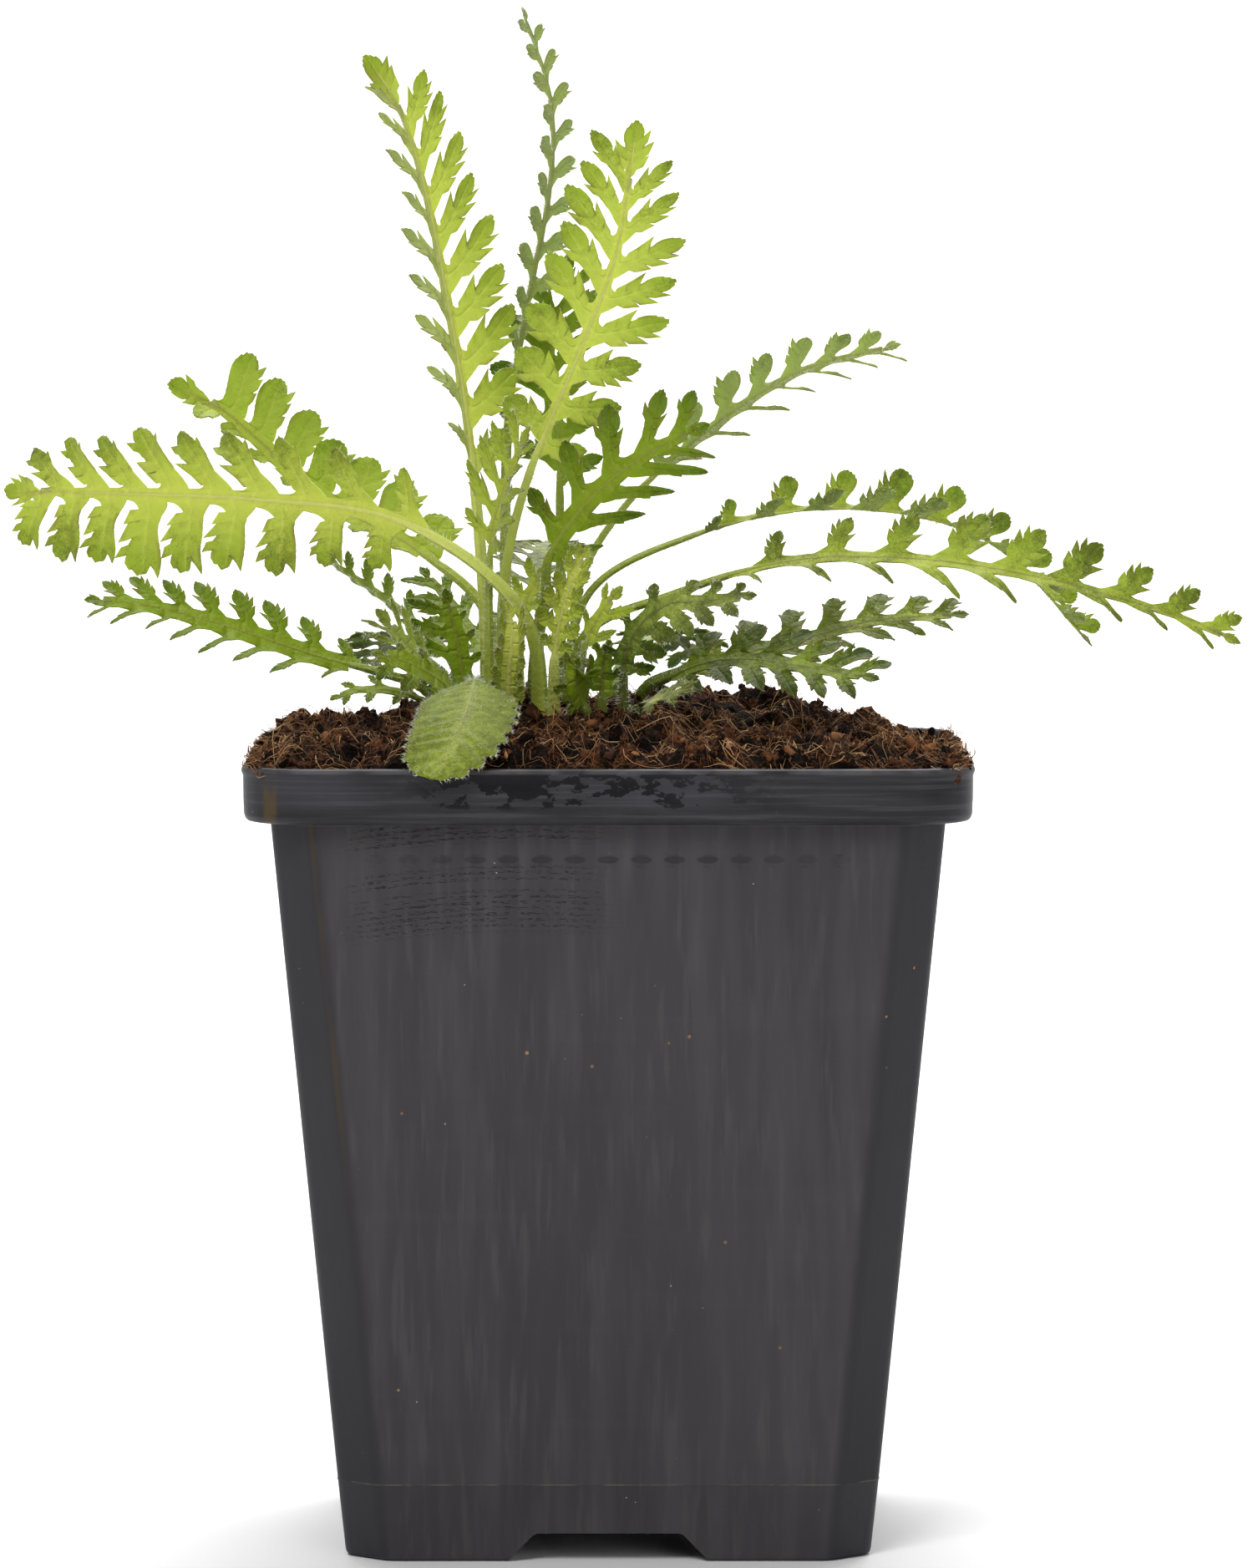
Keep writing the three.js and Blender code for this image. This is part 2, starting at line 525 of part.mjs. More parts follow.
// Every leaf's midrib, from the rootstock to its tip, the way that its upper face looks at both
// ends, and what differs from the common leaf. The fold, the twist and the width may be a pair, the
// right side's first, and leftAngle is the left side's angle where it differs.
const LEAVES = {
  left_tall: {
    path: [[-18.5, 1, 125], [-19.5, 1, 147.5], [-22, 0, 173.5], [-25, -3, 192], [-28.5, -7, 209.5],
      [-32.5, -10, 222], [-37.5, -12, 229.5]],
    up: [[0.55, -0.8, 0.1], [0.6, -0.75, 0.3]],
    stalk: 0.36, leaflets: 9, reach: 12, fold: 24, left: 0.8, angle: [62, 38], leftAngle: [46, 30],
    twist: [0, -38], broad: [0.27, 0.2], wing: 1.2, colour: "bright",
  },
  centre_tall: {
    path: [[-15.5, 6, 125], [-16, 8, 152.5], [-15.5, 11, 173], [-12.5, 15, 191.5], [-9, 17, 210.5],
      [-9, 17, 223], [-13.5, 14, 237.5]],
    up: [[0.95, -0.25, 0.1], [0.9, -0.3, 0.2]],
    stalk: 0.42, leaflets: 11, reach: 5, fold: 30, curl: -10, angle: [60, 42], stout: 0.85, wing: 0.8,
    colour: "silver",
  },
  right_tall: {
    path: [[-16.5, -3, 125], [-16, -4, 149], [-12.5, -6, 164], [-5, -9, 182.5], [1, -11, 198],
      [3.5, -12, 212], [4.5, -12, 219.5]],
    up: [[0, -1, 0], [0.1, -1, 0.1]],
    stalk: 0.44, leaflets: 8, reach: 11.5, fold: 10, angle: [75, 35], broad: [0.25, 0.34], stout: 0.85,
    wing: 1.3, colour: "bright",
  },
  back_right: {
    path: [[-7.5, 5.5, 125.5], [-7.5, 11, 155], [-8, 16, 170.5], [-9.5, 20, 179.5], [-8, 22, 189],
      [-3, 24, 196.5]],
    up: [[0, -1, 0.2], [-0.2, -1, 0.3]],
    stalk: 0.5, leaflets: 6, reach: 9, stout: 0.9, colour: "dark",
  },
  right_diagonal: {
    path: [[-5, 2.5, 125], [-4.5, 8, 147], [2, 12, 158.5], [14.5, 18, 170], [30, 24, 180],
      [46.5, 28, 184.5]],
    up: [[-0.5, 0.8, 0.4], [-0.2, 0.8, 0.7]],
    stalk: 0.48, leaflets: 7, reach: 7, fold: 14, left: 1.2, angle: [70, 45], leftAngle: [38, 24],
    twist: [0, -45], broad: [0.34, 0.2], stout: 0.7, wing: 1, colour: "mid",
  },
  right_arch_high: {
    path: [[-7.5, 0, 125], [-3, 2, 146], [13.5, 6, 155], [31.5, 10, 159], [50, 14, 157.5],
      [62.5, 16, 152], [76.5, 18, 137]],
    up: [[0, -0.45, 1], [0.3, -0.3, 1]],
    stalk: 0.36, leaflets: 9, reach: 6.5, fold: 50, curl: -8, angle: [80, 45], broad: 0.38, stout: 0.65,
    wing: 0.8, colour: "mid",
  },
  right_arch_low: {
    path: [[-7, -5, 125], [-3.5, -8, 140], [10, -14, 146.5], [28, -22, 152], [47, -28, 152.5],
      [67, -31, 149.5], [86.5, -32, 144], [96.4, -32, 139.8]],
    up: [[0, -0.7, 0.9], [0.1, -0.8, 0.8]],
    stalk: 0.34, leaflets: 9, reach: 7.5, fold: [10, 34], left: 1.1, angle: [46, 24],
    leftAngle: [75, 45], broad: [0.16, 0.36], stout: 0.75, wing: 1.1, colour: "mid",
  },
  left_long: {
    path: [[-10.5, -7, 125], [-12, -11, 141], [-19, -13.5, 150], [-33.5, -8, 158], [-54, 4, 160.5],
      [-75, 18, 161], [-96.5, 36, 161]],
    up: [[-0.4, -0.9, 0.3], [-0.4, -0.9, 0.3]],
    stalk: 0.32, leaflets: 9, reach: 12, fold: 6, angle: [54, 42], leftAngle: [84, 62],
    broad: [0.2, 0.32], wing: 1.6, colour: "bright",
  },
  left_high: {
    path: [[-17, 7.6, 125.5], [-19.5, 12.5, 143], [-30.5, 16, 152.5], [-44.5, 20, 160], [-55.5, 22, 169.5],
      [-61.5, 22, 174.5], [-69.5, 20, 178.5]],
    up: [[0, -0.5, 0.9], [0, -0.6, 0.8]],
    stalk: 0.36, leaflets: 7, reach: 8.6, foot: 0.5, head: 1.05, fold: 34, angle: [82, 60], broad: 0.4,
    stout: 0.9, wing: 1.3, colour: "mid",
  },
  left_low: {
    path: [[-23, -2, 124], [-29, -3, 131.5], [-35, -4, 133.8], [-44.5, -8, 136.5], [-53, -11, 139.5],
      [-62, -14, 142.5], [-71.5, -18, 145], [-80.5, -20, 146]],
    up: [[0, -0.8, 0.7], [0, -0.8, 0.7]],
    stalk: 0.3, leaflets: 8, reach: 6.5, angle: [72, 46], leftAngle: [42, 32], twist: [0, -40],
    broad: [0.26, 0.2], stout: 0.75, wing: 0.9, colour: "dark",
  },
  left_curled: {
    path: [[-21, 2.8, 125], [-25, 6, 136], [-29.5, 8, 140.5], [-36.5, 8, 146], [-41.5, 6, 149.5],
      [-46.5, 4, 153]],
    up: [[0.3, -0.6, 0.7], [0.3, -0.6, 0.7]],
    stalk: 0.4, leaflets: 6, reach: 3.8, fold: 30, curl: -10, angle: [62, 46], stout: 0.8, wing: 0.8,
    colour: "silver",
  },
  left_folded: {
    path: [[-21.3, -6.4, 124.5], [-24.5, -11, 131.5], [-28, -14, 134.5], [-32, -16, 136.5],
      [-36.5, -17, 137.5]],
    up: [[0, -0.5, 0.8], [0, -0.8, 0.6]],
    stalk: 0.36, leaflets: 3, reach: 4.6, right: 0.5, left: 1.1, fold: 8, angle: [70, 52], broad: 0.46,
    wing: 2.2, colour: "dark",
  },
  left_ground: {
    path: [[-22.5, -4.6, 123.5], [-26, -7, 128], [-30.5, -9, 130.6], [-35, -10.5, 131.6], [-39.5, -12.5, 131.5],
      [-43, -14, 130.2]],
    up: [[0, -0.6, 0.8], [0, -0.6, 0.8]],
    stalk: 0.4, leaflets: 3, reach: 3, stout: 0.8, wing: 0.9, colour: "dark",
  },
  centre_folded: {
    path: [[-18.5, -6, 125], [-18.5, -9, 146], [-18, -12, 155.5], [-15.5, -15, 164.5], [-12, -17, 172.5]],
    up: [[-0.75, -0.6, 0.2], [-0.75, -0.6, 0.4]],
    stalk: 0.56, leaflets: 5, reach: 9, fold: 32, broad: 0.24, stout: 0.85, colour: "mid",
  },
  back_left: {
    path: [[-13, 8, 124], [-17.5, 15, 133.5], [-22.5, 22, 140], [-25.5, 26, 144], [-30, 30, 149]],
    up: [[0, -0.5, 0.9], [0, -0.5, 0.9]],
    stalk: 0.35, leaflets: 4, reach: 6, stout: 0.85, colour: "dark",
  },
  centre_front: {
    path: [[-11.5, -2, 125], [-11.2, -6.5, 137], [-9.6, -10.5, 146], [-9.2, -14, 152], [-4, -18, 160],
      [4.5, -21, 167.5], [15.5, -23, 173]],
    up: [[0, -0.9, 0.3], [0, -0.9, 0.4]],
    stalk: 0.46, leaflets: 5, reach: 10, right: 1.1, angle: [46, 30], leftAngle: [72, 44],
    broad: [0.15, 0.26], wing: 1.7, colour: "dark",
  },
  young_bright: {
    path: [[-15, -7, 125], [-15.5, -12, 132.5], [-15, -15, 138], [-14.9, -16, 142], [-15.6, -16.4, 145.5]],
    up: [[0, -1, 0.1], [0, -1, 0.1]],
    stalk: 0.3, leaflets: 3, reach: 1.6, foot: 0.8, angle: [66, 54], broad: 0.4, wing: 1.5,
    colour: "bright",
  },
  young_right: {
    path: [[-8.4, -8, 124], [-8.2, -14, 137.5], [-7.2, -17, 143.5], [-5.8, -19, 148.2], [-4.2, -20, 151.8],
      [-3, -21, 154.3]],
    up: [[0, -1, 0.3], [0, -1, 0.3]],
    stalk: 0.42, leaflets: 6, reach: 3.6, angle: [66, 44], fold: 20, curl: -12, broad: 0.36, wing: 1.5,
    colour: "bright",
  },
  young_back: {
    path: [[-4.6, -6.5, 124.5], [-4.3, -12.2, 134], [-3.3, -17, 139.5], [-0.8, -19, 144.2], [2.2, -21, 148]],
    up: [[0, -1, 0.3], [0, -1, 0.5]],
    stalk: 0.6, leaflets: 2, reach: 4.8, head: 0.8, left: 0.6, angle: [42, 34], broad: 0.22, stout: 0.8,
    wing: 1.2, colour: "mid",
  },
  ground_silver: {
    path: [[2.6, -6.5, 123], [2.4, -12, 132.5], [3, -16.5, 138.2], [5.8, -19, 142.8], [9.4, -20.5, 145.2],
      [13.8, -21.7, 145.7], [22.8, -23.6, 146.8]],
    up: [[0, -0.9, 0.5], [0, -0.8, 0.6]],
    stalk: 0.3, leaflets: 6, reach: 5.4, foot: 0.6, left: 0.6, angle: [76, 42], broad: 0.4, stout: 0.8,
    wing: 1.5, colour: "silver",
  },
  ground_dark: {
    path: [[2.5, -2, 123], [5.5, -4, 131], [9.5, -6.5, 133.3], [16, -10, 135.9], [22.5, -14, 136.4],
      [30, -19, 135.6], [41.5, -26, 134]],
    up: [[0, -0.7, 0.8], [0, -0.7, 0.8]],
    stalk: 0.28, leaflets: 6, reach: 7.6, foot: 0.6, angle: [52, 34], leftAngle: [72, 44],
    broad: [0.3, 0.4], stout: 0.85, wing: 1.6, colour: "dark",
  },
  ground_right: {
    path: [[4, 3, 123], [5.5, 2.5, 131], [10, 3, 133.4], [16.5, 4.5, 135], [23, 8, 136.7], [31, 12, 138.4],
      [41.5, 15, 141], [57, 18, 142]],
    up: [[0, -0.7, 0.8], [0, -0.7, 0.8]],
    stalk: 0.24, leaflets: 7, reach: 6.4, foot: 0.7, angle: [42, 26], leftAngle: [76, 46],
    broad: [0.24, 0.4], stout: 0.8, wing: 1.3, colour: "mid",
  },
  small_front: {
    path: [[3.5, -7, 123], [5.2, -13.5, 129.4], [8, -18, 130.8], [13, -22, 132]],
    up: [[0, -0.6, 1], [0, -0.8, 1]],
    stalk: 0.45, leaflets: 3, reach: 3.4, broad: 0.45, stout: 0.8, wing: 1.5, colour: "bright",
  },
  round_centre: {
    path: [[-1.5, -7.5, 124.5], [-4.2, -14.5, 130.5], [-5, -18, 134], [-4.4, -21, 137]],
    up: [[0, -0.8, 0.6], [0, -0.8, 0.6]],
    stalk: 0.4, leaflets: 3, reach: 3.8, left: 0.7, fold: 4, angle: [66, 50], broad: 0.5, wing: 2,
    colour: "dark",
  },
  round_right: {
    path: [[-0.9, -5.5, 124], [-1, -9, 131], [-0.8, -11.5, 135.5], [0.3, -13, 139.5]],
    up: [[0, -0.9, 0.4], [0, -0.9, 0.4]],
    stalk: 0.4, leaflets: 3, reach: 3.2, left: 0.7, fold: 6, angle: [62, 46], broad: 0.5, wing: 1.6,
    colour: "mid",
  },
  young_fork: {
    path: [[-13.6, -5.2, 124.5], [-13.6, -7.2, 138], [-13, -8.2, 144.5], [-11.4, -9.2, 148],
      [-9.4, -10, 151]],
    up: [[0, -1, 0.3], [0, -1, 0.3]],
    stalk: 0.68, leaflets: 2, reach: 3.6, head: 0.8, angle: [50, 38], broad: 0.3, stout: 0.7, wing: 1.1,
    colour: "bright",
  },
  left_fan: {
    path: [[-20, -2.5, 124.5], [-27, -6.5, 135], [-30.8, -7.5, 138], [-33.3, -8, 140.8], [-36, -8.5, 144]],
    up: [[0.3, -0.8, 0.5], [0.3, -0.8, 0.5]],
    stalk: 0.56, leaflets: 3, reach: 5.6, head: 0.9, angle: [38, 22], fold: 24, broad: 0.26, wing: 1.3,
    colour: "silver",
  },
  left_dark: {
    path: [[-18.8, -1.5, 124.5], [-22.4, -1.2, 132.5], [-23.4, -2, 138], [-24.3, -3, 142.5],
      [-25.4, -4, 147]],
    up: [[0, -1, 0.2], [0, -1, 0.2]],
    stalk: 0.26, leaflets: 4, reach: 7, foot: 0.8, right: 0.3, left: 1.1, leftAngle: [70, 54], broad: 0.34,
    wing: 1.5, colour: "dark",
  },
  back_low_left: {
    path: [[-20, 6.8, 124.5], [-22.5, 12.5, 133.5], [-34, 37, 137.5], [-38, 57, 131.5]],
    up: [[0, 0.2, 1], [0, 0.2, 1]],
    stalk: 0.3, leaflets: 7, reach: 7.5, broad: 0.26, stout: 0.8, colour: "mid",
  },
  back_low_right: {
    path: [[-1, 3, 125.5], [2, 13, 134.5], [10, 36, 138], [16, 56, 131]],
    up: [[0, 0.2, 1], [0, 0.2, 1]],
    stalk: 0.3, leaflets: 7, reach: 7.5, broad: 0.26, stout: 0.8, colour: "dark",
  },
  back_centre: {
    path: [[-10.5, 6.5, 125], [-11, 20, 142], [-11, 38, 151], [-9, 57, 152]],
    up: [[0, -0.2, 1], [0, -0.2, 1]],
    stalk: 0.35, leaflets: 8, reach: 8.5, broad: 0.26, stout: 0.85, colour: "mid",
  },
};

const HANG_FRONT = {
  path: [[-19, -6.5, 126.4], [-20.5, -17, 132.2], [-20.5, -32, 133.5], [-21.5, -46, 130], [-22.5, -54, 126],
    [-23, -60, 120.5]],
  up: [[0, -0.3, 1], [0, -0.6, 1]],
  stalk: 0.38, leaflets: 9, reach: 7.2, fold: -4,
};

function makeLeaf(leaf, surface, crown) {
  return toSolid(thicken(surface(leaf))).subtract(crown);
}

// The assembly

function addPiece(group, name, solid, colour, roughness) {
  const material = new THREE.MeshStandardMaterial({ color: colour, roughness, metalness: 0 });
  const mesh = new THREE.Mesh(toGeometry(solid), material);
  mesh.name = name;
  group.add(mesh);
}

const plant = new THREE.Group();
const crownRoom = makeCrown(GAP);
addPiece(plant, "pot", makePot(), COLOURS.pot, 0.5);
addPiece(plant, "soil", makeSoil(crownRoom), COLOURS.soil, 1);
addPiece(plant, "crown", makeCrown(0), COLOURS.crown, 0.9);
Object.entries(LEAVES).forEach(([name, traits], index) => {
  const leaf = { ...LEAF_DEFAULTS, ...traits, salt: index };
  addPiece(plant, `frond_${name}`, makeLeaf(leaf, leafSurface, crownRoom), COLOURS[leaf.colour], 0.6);
});
addPiece(plant, "leaf_hang_front", makeLeaf(HANG_FRONT, ovateSurface, crownRoom), COLOURS.mid, 0.7);

export default plant;
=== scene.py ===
"""A cloth of gold fernleaf yarrow in its square nursery pot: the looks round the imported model.

Shapes are worked out in millimetres, as the model's own are, and go into meshes in metres.
"""
import json

import bmesh
import bpy
import numpy as np
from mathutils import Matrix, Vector


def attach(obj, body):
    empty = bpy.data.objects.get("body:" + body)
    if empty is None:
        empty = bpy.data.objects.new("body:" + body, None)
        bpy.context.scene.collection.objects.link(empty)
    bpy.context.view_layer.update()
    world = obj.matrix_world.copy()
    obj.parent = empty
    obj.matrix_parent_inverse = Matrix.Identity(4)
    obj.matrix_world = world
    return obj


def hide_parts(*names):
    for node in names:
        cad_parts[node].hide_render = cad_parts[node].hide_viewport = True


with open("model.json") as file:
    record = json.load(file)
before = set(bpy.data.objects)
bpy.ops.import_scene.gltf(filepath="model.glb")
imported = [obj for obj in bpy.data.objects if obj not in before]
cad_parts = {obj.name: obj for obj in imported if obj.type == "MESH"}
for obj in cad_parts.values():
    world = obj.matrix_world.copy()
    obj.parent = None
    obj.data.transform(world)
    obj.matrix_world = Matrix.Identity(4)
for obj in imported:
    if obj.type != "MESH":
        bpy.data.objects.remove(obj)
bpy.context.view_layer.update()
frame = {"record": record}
slots = {part["node"]: part["material_slot"] for part in frame["record"]["subparts"]}

MM = 0.001
POT_HEIGHT = 122.0
SHOULDER = 113.4
FOOT_HALF = 40.3
SHOULDER_HALF = 51.1
CHAMFER = 6.3
RIM_HALF = 55.2
RIM_CORNER = 11.0
POT_WALL = 1.5
PARTING_HEIGHT = 11.95
DIMPLE_HEIGHT = 107.9
DIMPLE_SPACING = 5.0
DIMPLE_DEPTH = 0.42
CHANNEL_LENGTH = 60
DRAIN_RADIUS = 4
DRAIN_APART = 24
SIDE_POINTS = 150
CORNER_POINTS = 14
DRAIN_POINTS = 32
THREE_TURNS = np.array([0, 2, 4]) * np.pi / 3
CHANCE = np.random.default_rng(7)


# Camera and light

CAMERA_PLACE = (0.0, -1.368, 0.2042)
CAMERA_AIM = (0.00275, -0.055, 0.1198)
LENS = 201.46


def look_from(thing, place, aim):
    """Puts a camera or lamp at a place, turned to its aim."""
    thing.location = place
    thing.rotation_euler = (Vector(aim) - Vector(place)).to_track_quat("-Z", "Y").to_euler()
    bpy.context.scene.collection.objects.link(thing)
    return thing


def add_camera():
    """The photograph's own viewing angle: from 1.4 m in front, looking a little down at the rim."""
    data = bpy.data.cameras.new("camera")
    data.lens = LENS
    data.clip_end = 20
    camera = bpy.data.objects.new("camera", data)
    look_from(camera, CAMERA_PLACE, CAMERA_AIM)
    bpy.context.scene.camera = camera


def add_lamp(name, place, aim, size, power):
    """A square soft lamp that the camera doesn't see."""
    data = bpy.data.lights.new(name, "AREA")
    data.shape = "SQUARE"
    data.size = size
    data.energy = power
    lamp = look_from(bpy.data.objects.new(name, data), place, aim)
    lamp.visible_camera = False


def add_studio():
    """Large soft lamps round the plant, in a white room."""
    middle = (0, 0, 0.15)
    add_lamp("key", (-0.55, -1.5, 1.45), middle, 0.8, 22)
    add_lamp("fill", (0.75, -1.7, 0.55), middle, 0.8, 6)
    add_lamp("back", (0.3, 1.2, 1.5), middle, 1.1, 12)
    add_lamp("backdrop", (0, 0.9, 2.2), (0, 2.4, 0.4), 1.6, 70)
    world = bpy.data.worlds.new("studio")
    world.use_nodes = True
    sky = world.node_tree.nodes["Background"]
    sky.inputs["Color"].default_value = (1, 1, 1, 1)
    sky.inputs["Strength"].default_value = 0.16
    bpy.context.scene.world = world
    bpy.context.scene.view_settings.view_transform = "Standard"


# Numbers and curves

def mix(a, b, t):
    """A value on the straight line from a to b, at the share t."""
    return a + (b - a) * t


def smooth(t):
    """A step from 0 to 1 that starts and ends level: three squares less two cubes."""
    t = np.clip(t, 0, 1)
    return t * t * (3 - 2 * t)


def unit(vectors):
    """Vectors divided by their own lengths."""
    return vectors / np.maximum(np.linalg.norm(vectors, axis=-1, keepdims=True), 1e-12)


def rough(places, size, seed):
    """Value noise from -1 to 1: random heights on a lattice of that size, joined smoothly."""
    cells = 64
    lattice = np.random.default_rng(seed).uniform(-1, 1, (cells, cells))
    at = places / size + 0.37 * seed
    cell = np.floor(at).astype(int)
    part = smooth(at - cell)
    x, y = cell[..., 0], cell[..., 1]
    corner = [[lattice[(x + i) % cells, (y + j) % cells] for j in (0, 1)] for i in (0, 1)]
    near = mix(corner[0][0], corner[0][1], part[..., 1])
    far = mix(corner[1][0], corner[1][1], part[..., 1])
    return mix(near, far, part[..., 0])


# Meshes

def face_outwards(mesh, weld=False):
    """Turns a closed mesh's faces outwards, and first merges its doubled points if it is welded."""
    tidy = bmesh.new()
    tidy.from_mesh(mesh)
    if weld:
        bmesh.ops.remove_doubles(tidy, verts=tidy.verts, dist=1e-7)
    bmesh.ops.recalc_face_normals(tidy, faces=tidy.faces)
    tidy.to_mesh(mesh)
    tidy.free()


class Shape:
    """Gathers points, faces and what each point is, and makes one mesh of them.

    leaf_face says how much of a point is underside, vein and brown edge, leaf_part how much is
    stalk and hair, and how dark its leaf is, partly in its own tone and partly in painted shade,
    and leaf_place how far it is from the midrib, how far along its leaf, and the chance tone of its
    leaflet, crumb or fibre, or on the peat's top the painted shade of its pits and hollows and the
    painted light of its crumbly tops."""

    LOOKS = ("leaf_face", "leaf_part", "leaf_place")

    def __init__(self):
        self.points = []
        self.faces = []
        self.looks = {name: [] for name in self.LOOKS}
        self.count = 0

    def add(self, points, faces, **looks):
        """points is any grid of places in mm, faces a list of index arrays with 3 or 4 columns."""
        flat = np.asarray(points, float).reshape(-1, 3)
        self.points.append(flat)
        self.faces += [np.asarray(part).reshape(-1, np.shape(part)[-1]) + self.count for part in faces]
        for name in self.LOOKS:
            given = looks.get(name, (0, 0, 0))
            spread = np.broadcast_to(np.asarray(given, float), np.shape(points))
            self.looks[name].append(spread.reshape(-1, 3))
        self.count += len(flat)

    def piece(self, name, node=None, slot=None, weld=False, sharp=None):
        """The finished object, riding on the plant and standing for its node."""
        mesh = bpy.data.meshes.new(name)
        points = np.concatenate(self.points) * MM
        mesh.vertices.add(len(points))
        mesh.vertices.foreach_set("co", points.ravel())
        totals = np.concatenate([np.full(len(part), part.shape[1]) for part in self.faces])
        corners = np.concatenate([part.ravel() for part in self.faces])
        mesh.loops.add(len(corners))
        mesh.loops.foreach_set("vertex_index", corners.astype(np.int32))
        mesh.polygons.add(len(totals))
        mesh.polygons.foreach_set("loop_start", (np.cumsum(totals) - totals).astype(np.int32))
        mesh.update(calc_edges=True)
        for look, values in self.looks.items():
            spread = np.concatenate(values)
            if spread.any():
                mesh.attributes.new(look, "FLOAT_VECTOR", "POINT")
                mesh.attributes[look].data.foreach_set("vector", spread.ravel())
        if weld:
            face_outwards(mesh, weld)
        mesh.validate()
        if sharp is not None:
            mesh.shade_smooth()
            mesh.set_sharp_from_angle(angle=np.radians(sharp))
        thing = bpy.data.objects.new(name, mesh)
        bpy.context.scene.collection.objects.link(thing)
        return settle(thing, node, slot)


def settle(thing, node, slot=None):
    """Makes a piece ride on the plant and stand for its node, with its slot's finish."""
    slot = slot or slots[node]
    thing.data.materials.clear()
    thing.data.materials.append(FINISHES[slot])
    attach(thing, "root")
    if node:
        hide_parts(node)
    return thing


def grid_faces(rows, columns, closed=False):
    """Quads between the neighbours of a grid of points, whose last column may join its first."""
    row = np.arange(rows - 1)[:, None]
    column = np.arange(columns if closed else columns - 1)[None, :]
    after = (column + 1) % columns
    low, high = row * columns, (row + 1) * columns
    return np.stack([low + column, low + after, high + after, high + column], -1).reshape(-1, 4)


def add_tube(shape, points, **looks):
    """Adds a tube from a grid of rings and closes both ends with a fan round their middle."""
    rings, around = points.shape[:2]
    ends = np.stack([points[0].mean(0), points[-1].mean(0)])
    flat = np.concatenate([points.reshape(-1, 3), ends])
    turn = np.arange(around)
    after = (turn + 1) % around
    first = np.stack([np.full(around, rings * around), after, turn], -1)
    top = (rings - 1) * around
    last = np.stack([np.full(around, rings * around + 1), top + turn, top + after], -1)
    spread = {}
    for name, value in looks.items():
        grid = np.broadcast_to(np.asarray(value, float), points.shape).reshape(-1, 3)
        spread[name] = np.concatenate([grid, grid[:1], grid[-1:]])
    shape.add(flat, [grid_faces(rings, around, closed=True), first, last], **spread)


def add_spikes(shape, roots, directions, lengths, thick, **looks):
    """Adds hairs: each is a closed three-sided spike from its root along its direction."""
    direction = unit(directions)
    aside = unit(np.cross(direction, CHANCE.normal(size=direction.shape)))
    other = np.cross(direction, aside)
    cosine, sine = np.cos(THREE_TURNS)[None, :, None], np.sin(THREE_TURNS)[None, :, None]
    base = roots[:, None] + thick * (aside[:, None] * cosine + other[:, None] * sine)
    tip = roots + direction * np.asarray(lengths)[:, None]
    points = np.concatenate([base, tip[:, None]], 1)
    pattern = np.array([[0, 1, 3], [1, 2, 3], [2, 0, 3], [2, 1, 0]])
    faces = pattern[None] + 4 * np.arange(len(roots))[:, None, None]
    spread = {name: np.repeat(np.broadcast_to(value, roots.shape)[:, None], 4, 1)
              for name, value in looks.items()}
    shape.add(points, [faces], **spread)


# Finishes

def tone(red, green, blue):
    """A colour given in screen values from 0 to 255."""
    screen = np.array([red, green, blue]) / 255
    linear = np.where(screen <= 0.04045, screen / 12.92, ((screen + 0.055) / 1.055) ** 2.4)
    return (*linear, 1.0)


class Number:
    """A number that changes over a surface. Its operators add Math nodes."""

    def __init__(self, finish, socket):
        self.finish = finish
        self.socket = socket

    def math(self, operation, *values):
        node = self.finish.node("ShaderNodeMath", {"operation": operation}, dict(enumerate(values)))
        return Number(self.finish, node.outputs[0])

    def __add__(self, other):
        return self.math("ADD", self, other)

    def __sub__(self, other):
        return self.math("SUBTRACT", self, other)

    def __rsub__(self, other):
        return self.math("SUBTRACT", other, self)

    def wave(self, length):
        """Goes from -1 to 1 and back once in each length."""
        turned = self * (2 * np.pi / length)
        return turned.math("COSINE", turned)

    def __mul__(self, other):
        return self.math("MULTIPLY", self, other)

    def __pow__(self, other):
        return self.math("POWER", self, other)

    def size(self):
        return self.math("ABSOLUTE", self)

    def between(self, low, high):
        """A soft step from 0 at low to 1 at high."""
        settings = {"interpolation_type": "SMOOTHSTEP"}
        node = self.finish.node("ShaderNodeMapRange", settings, {0: self, 1: low, 2: high})
        return Number(self.finish, node.outputs[0])

    __radd__ = __add__
    __rmul__ = __mul__


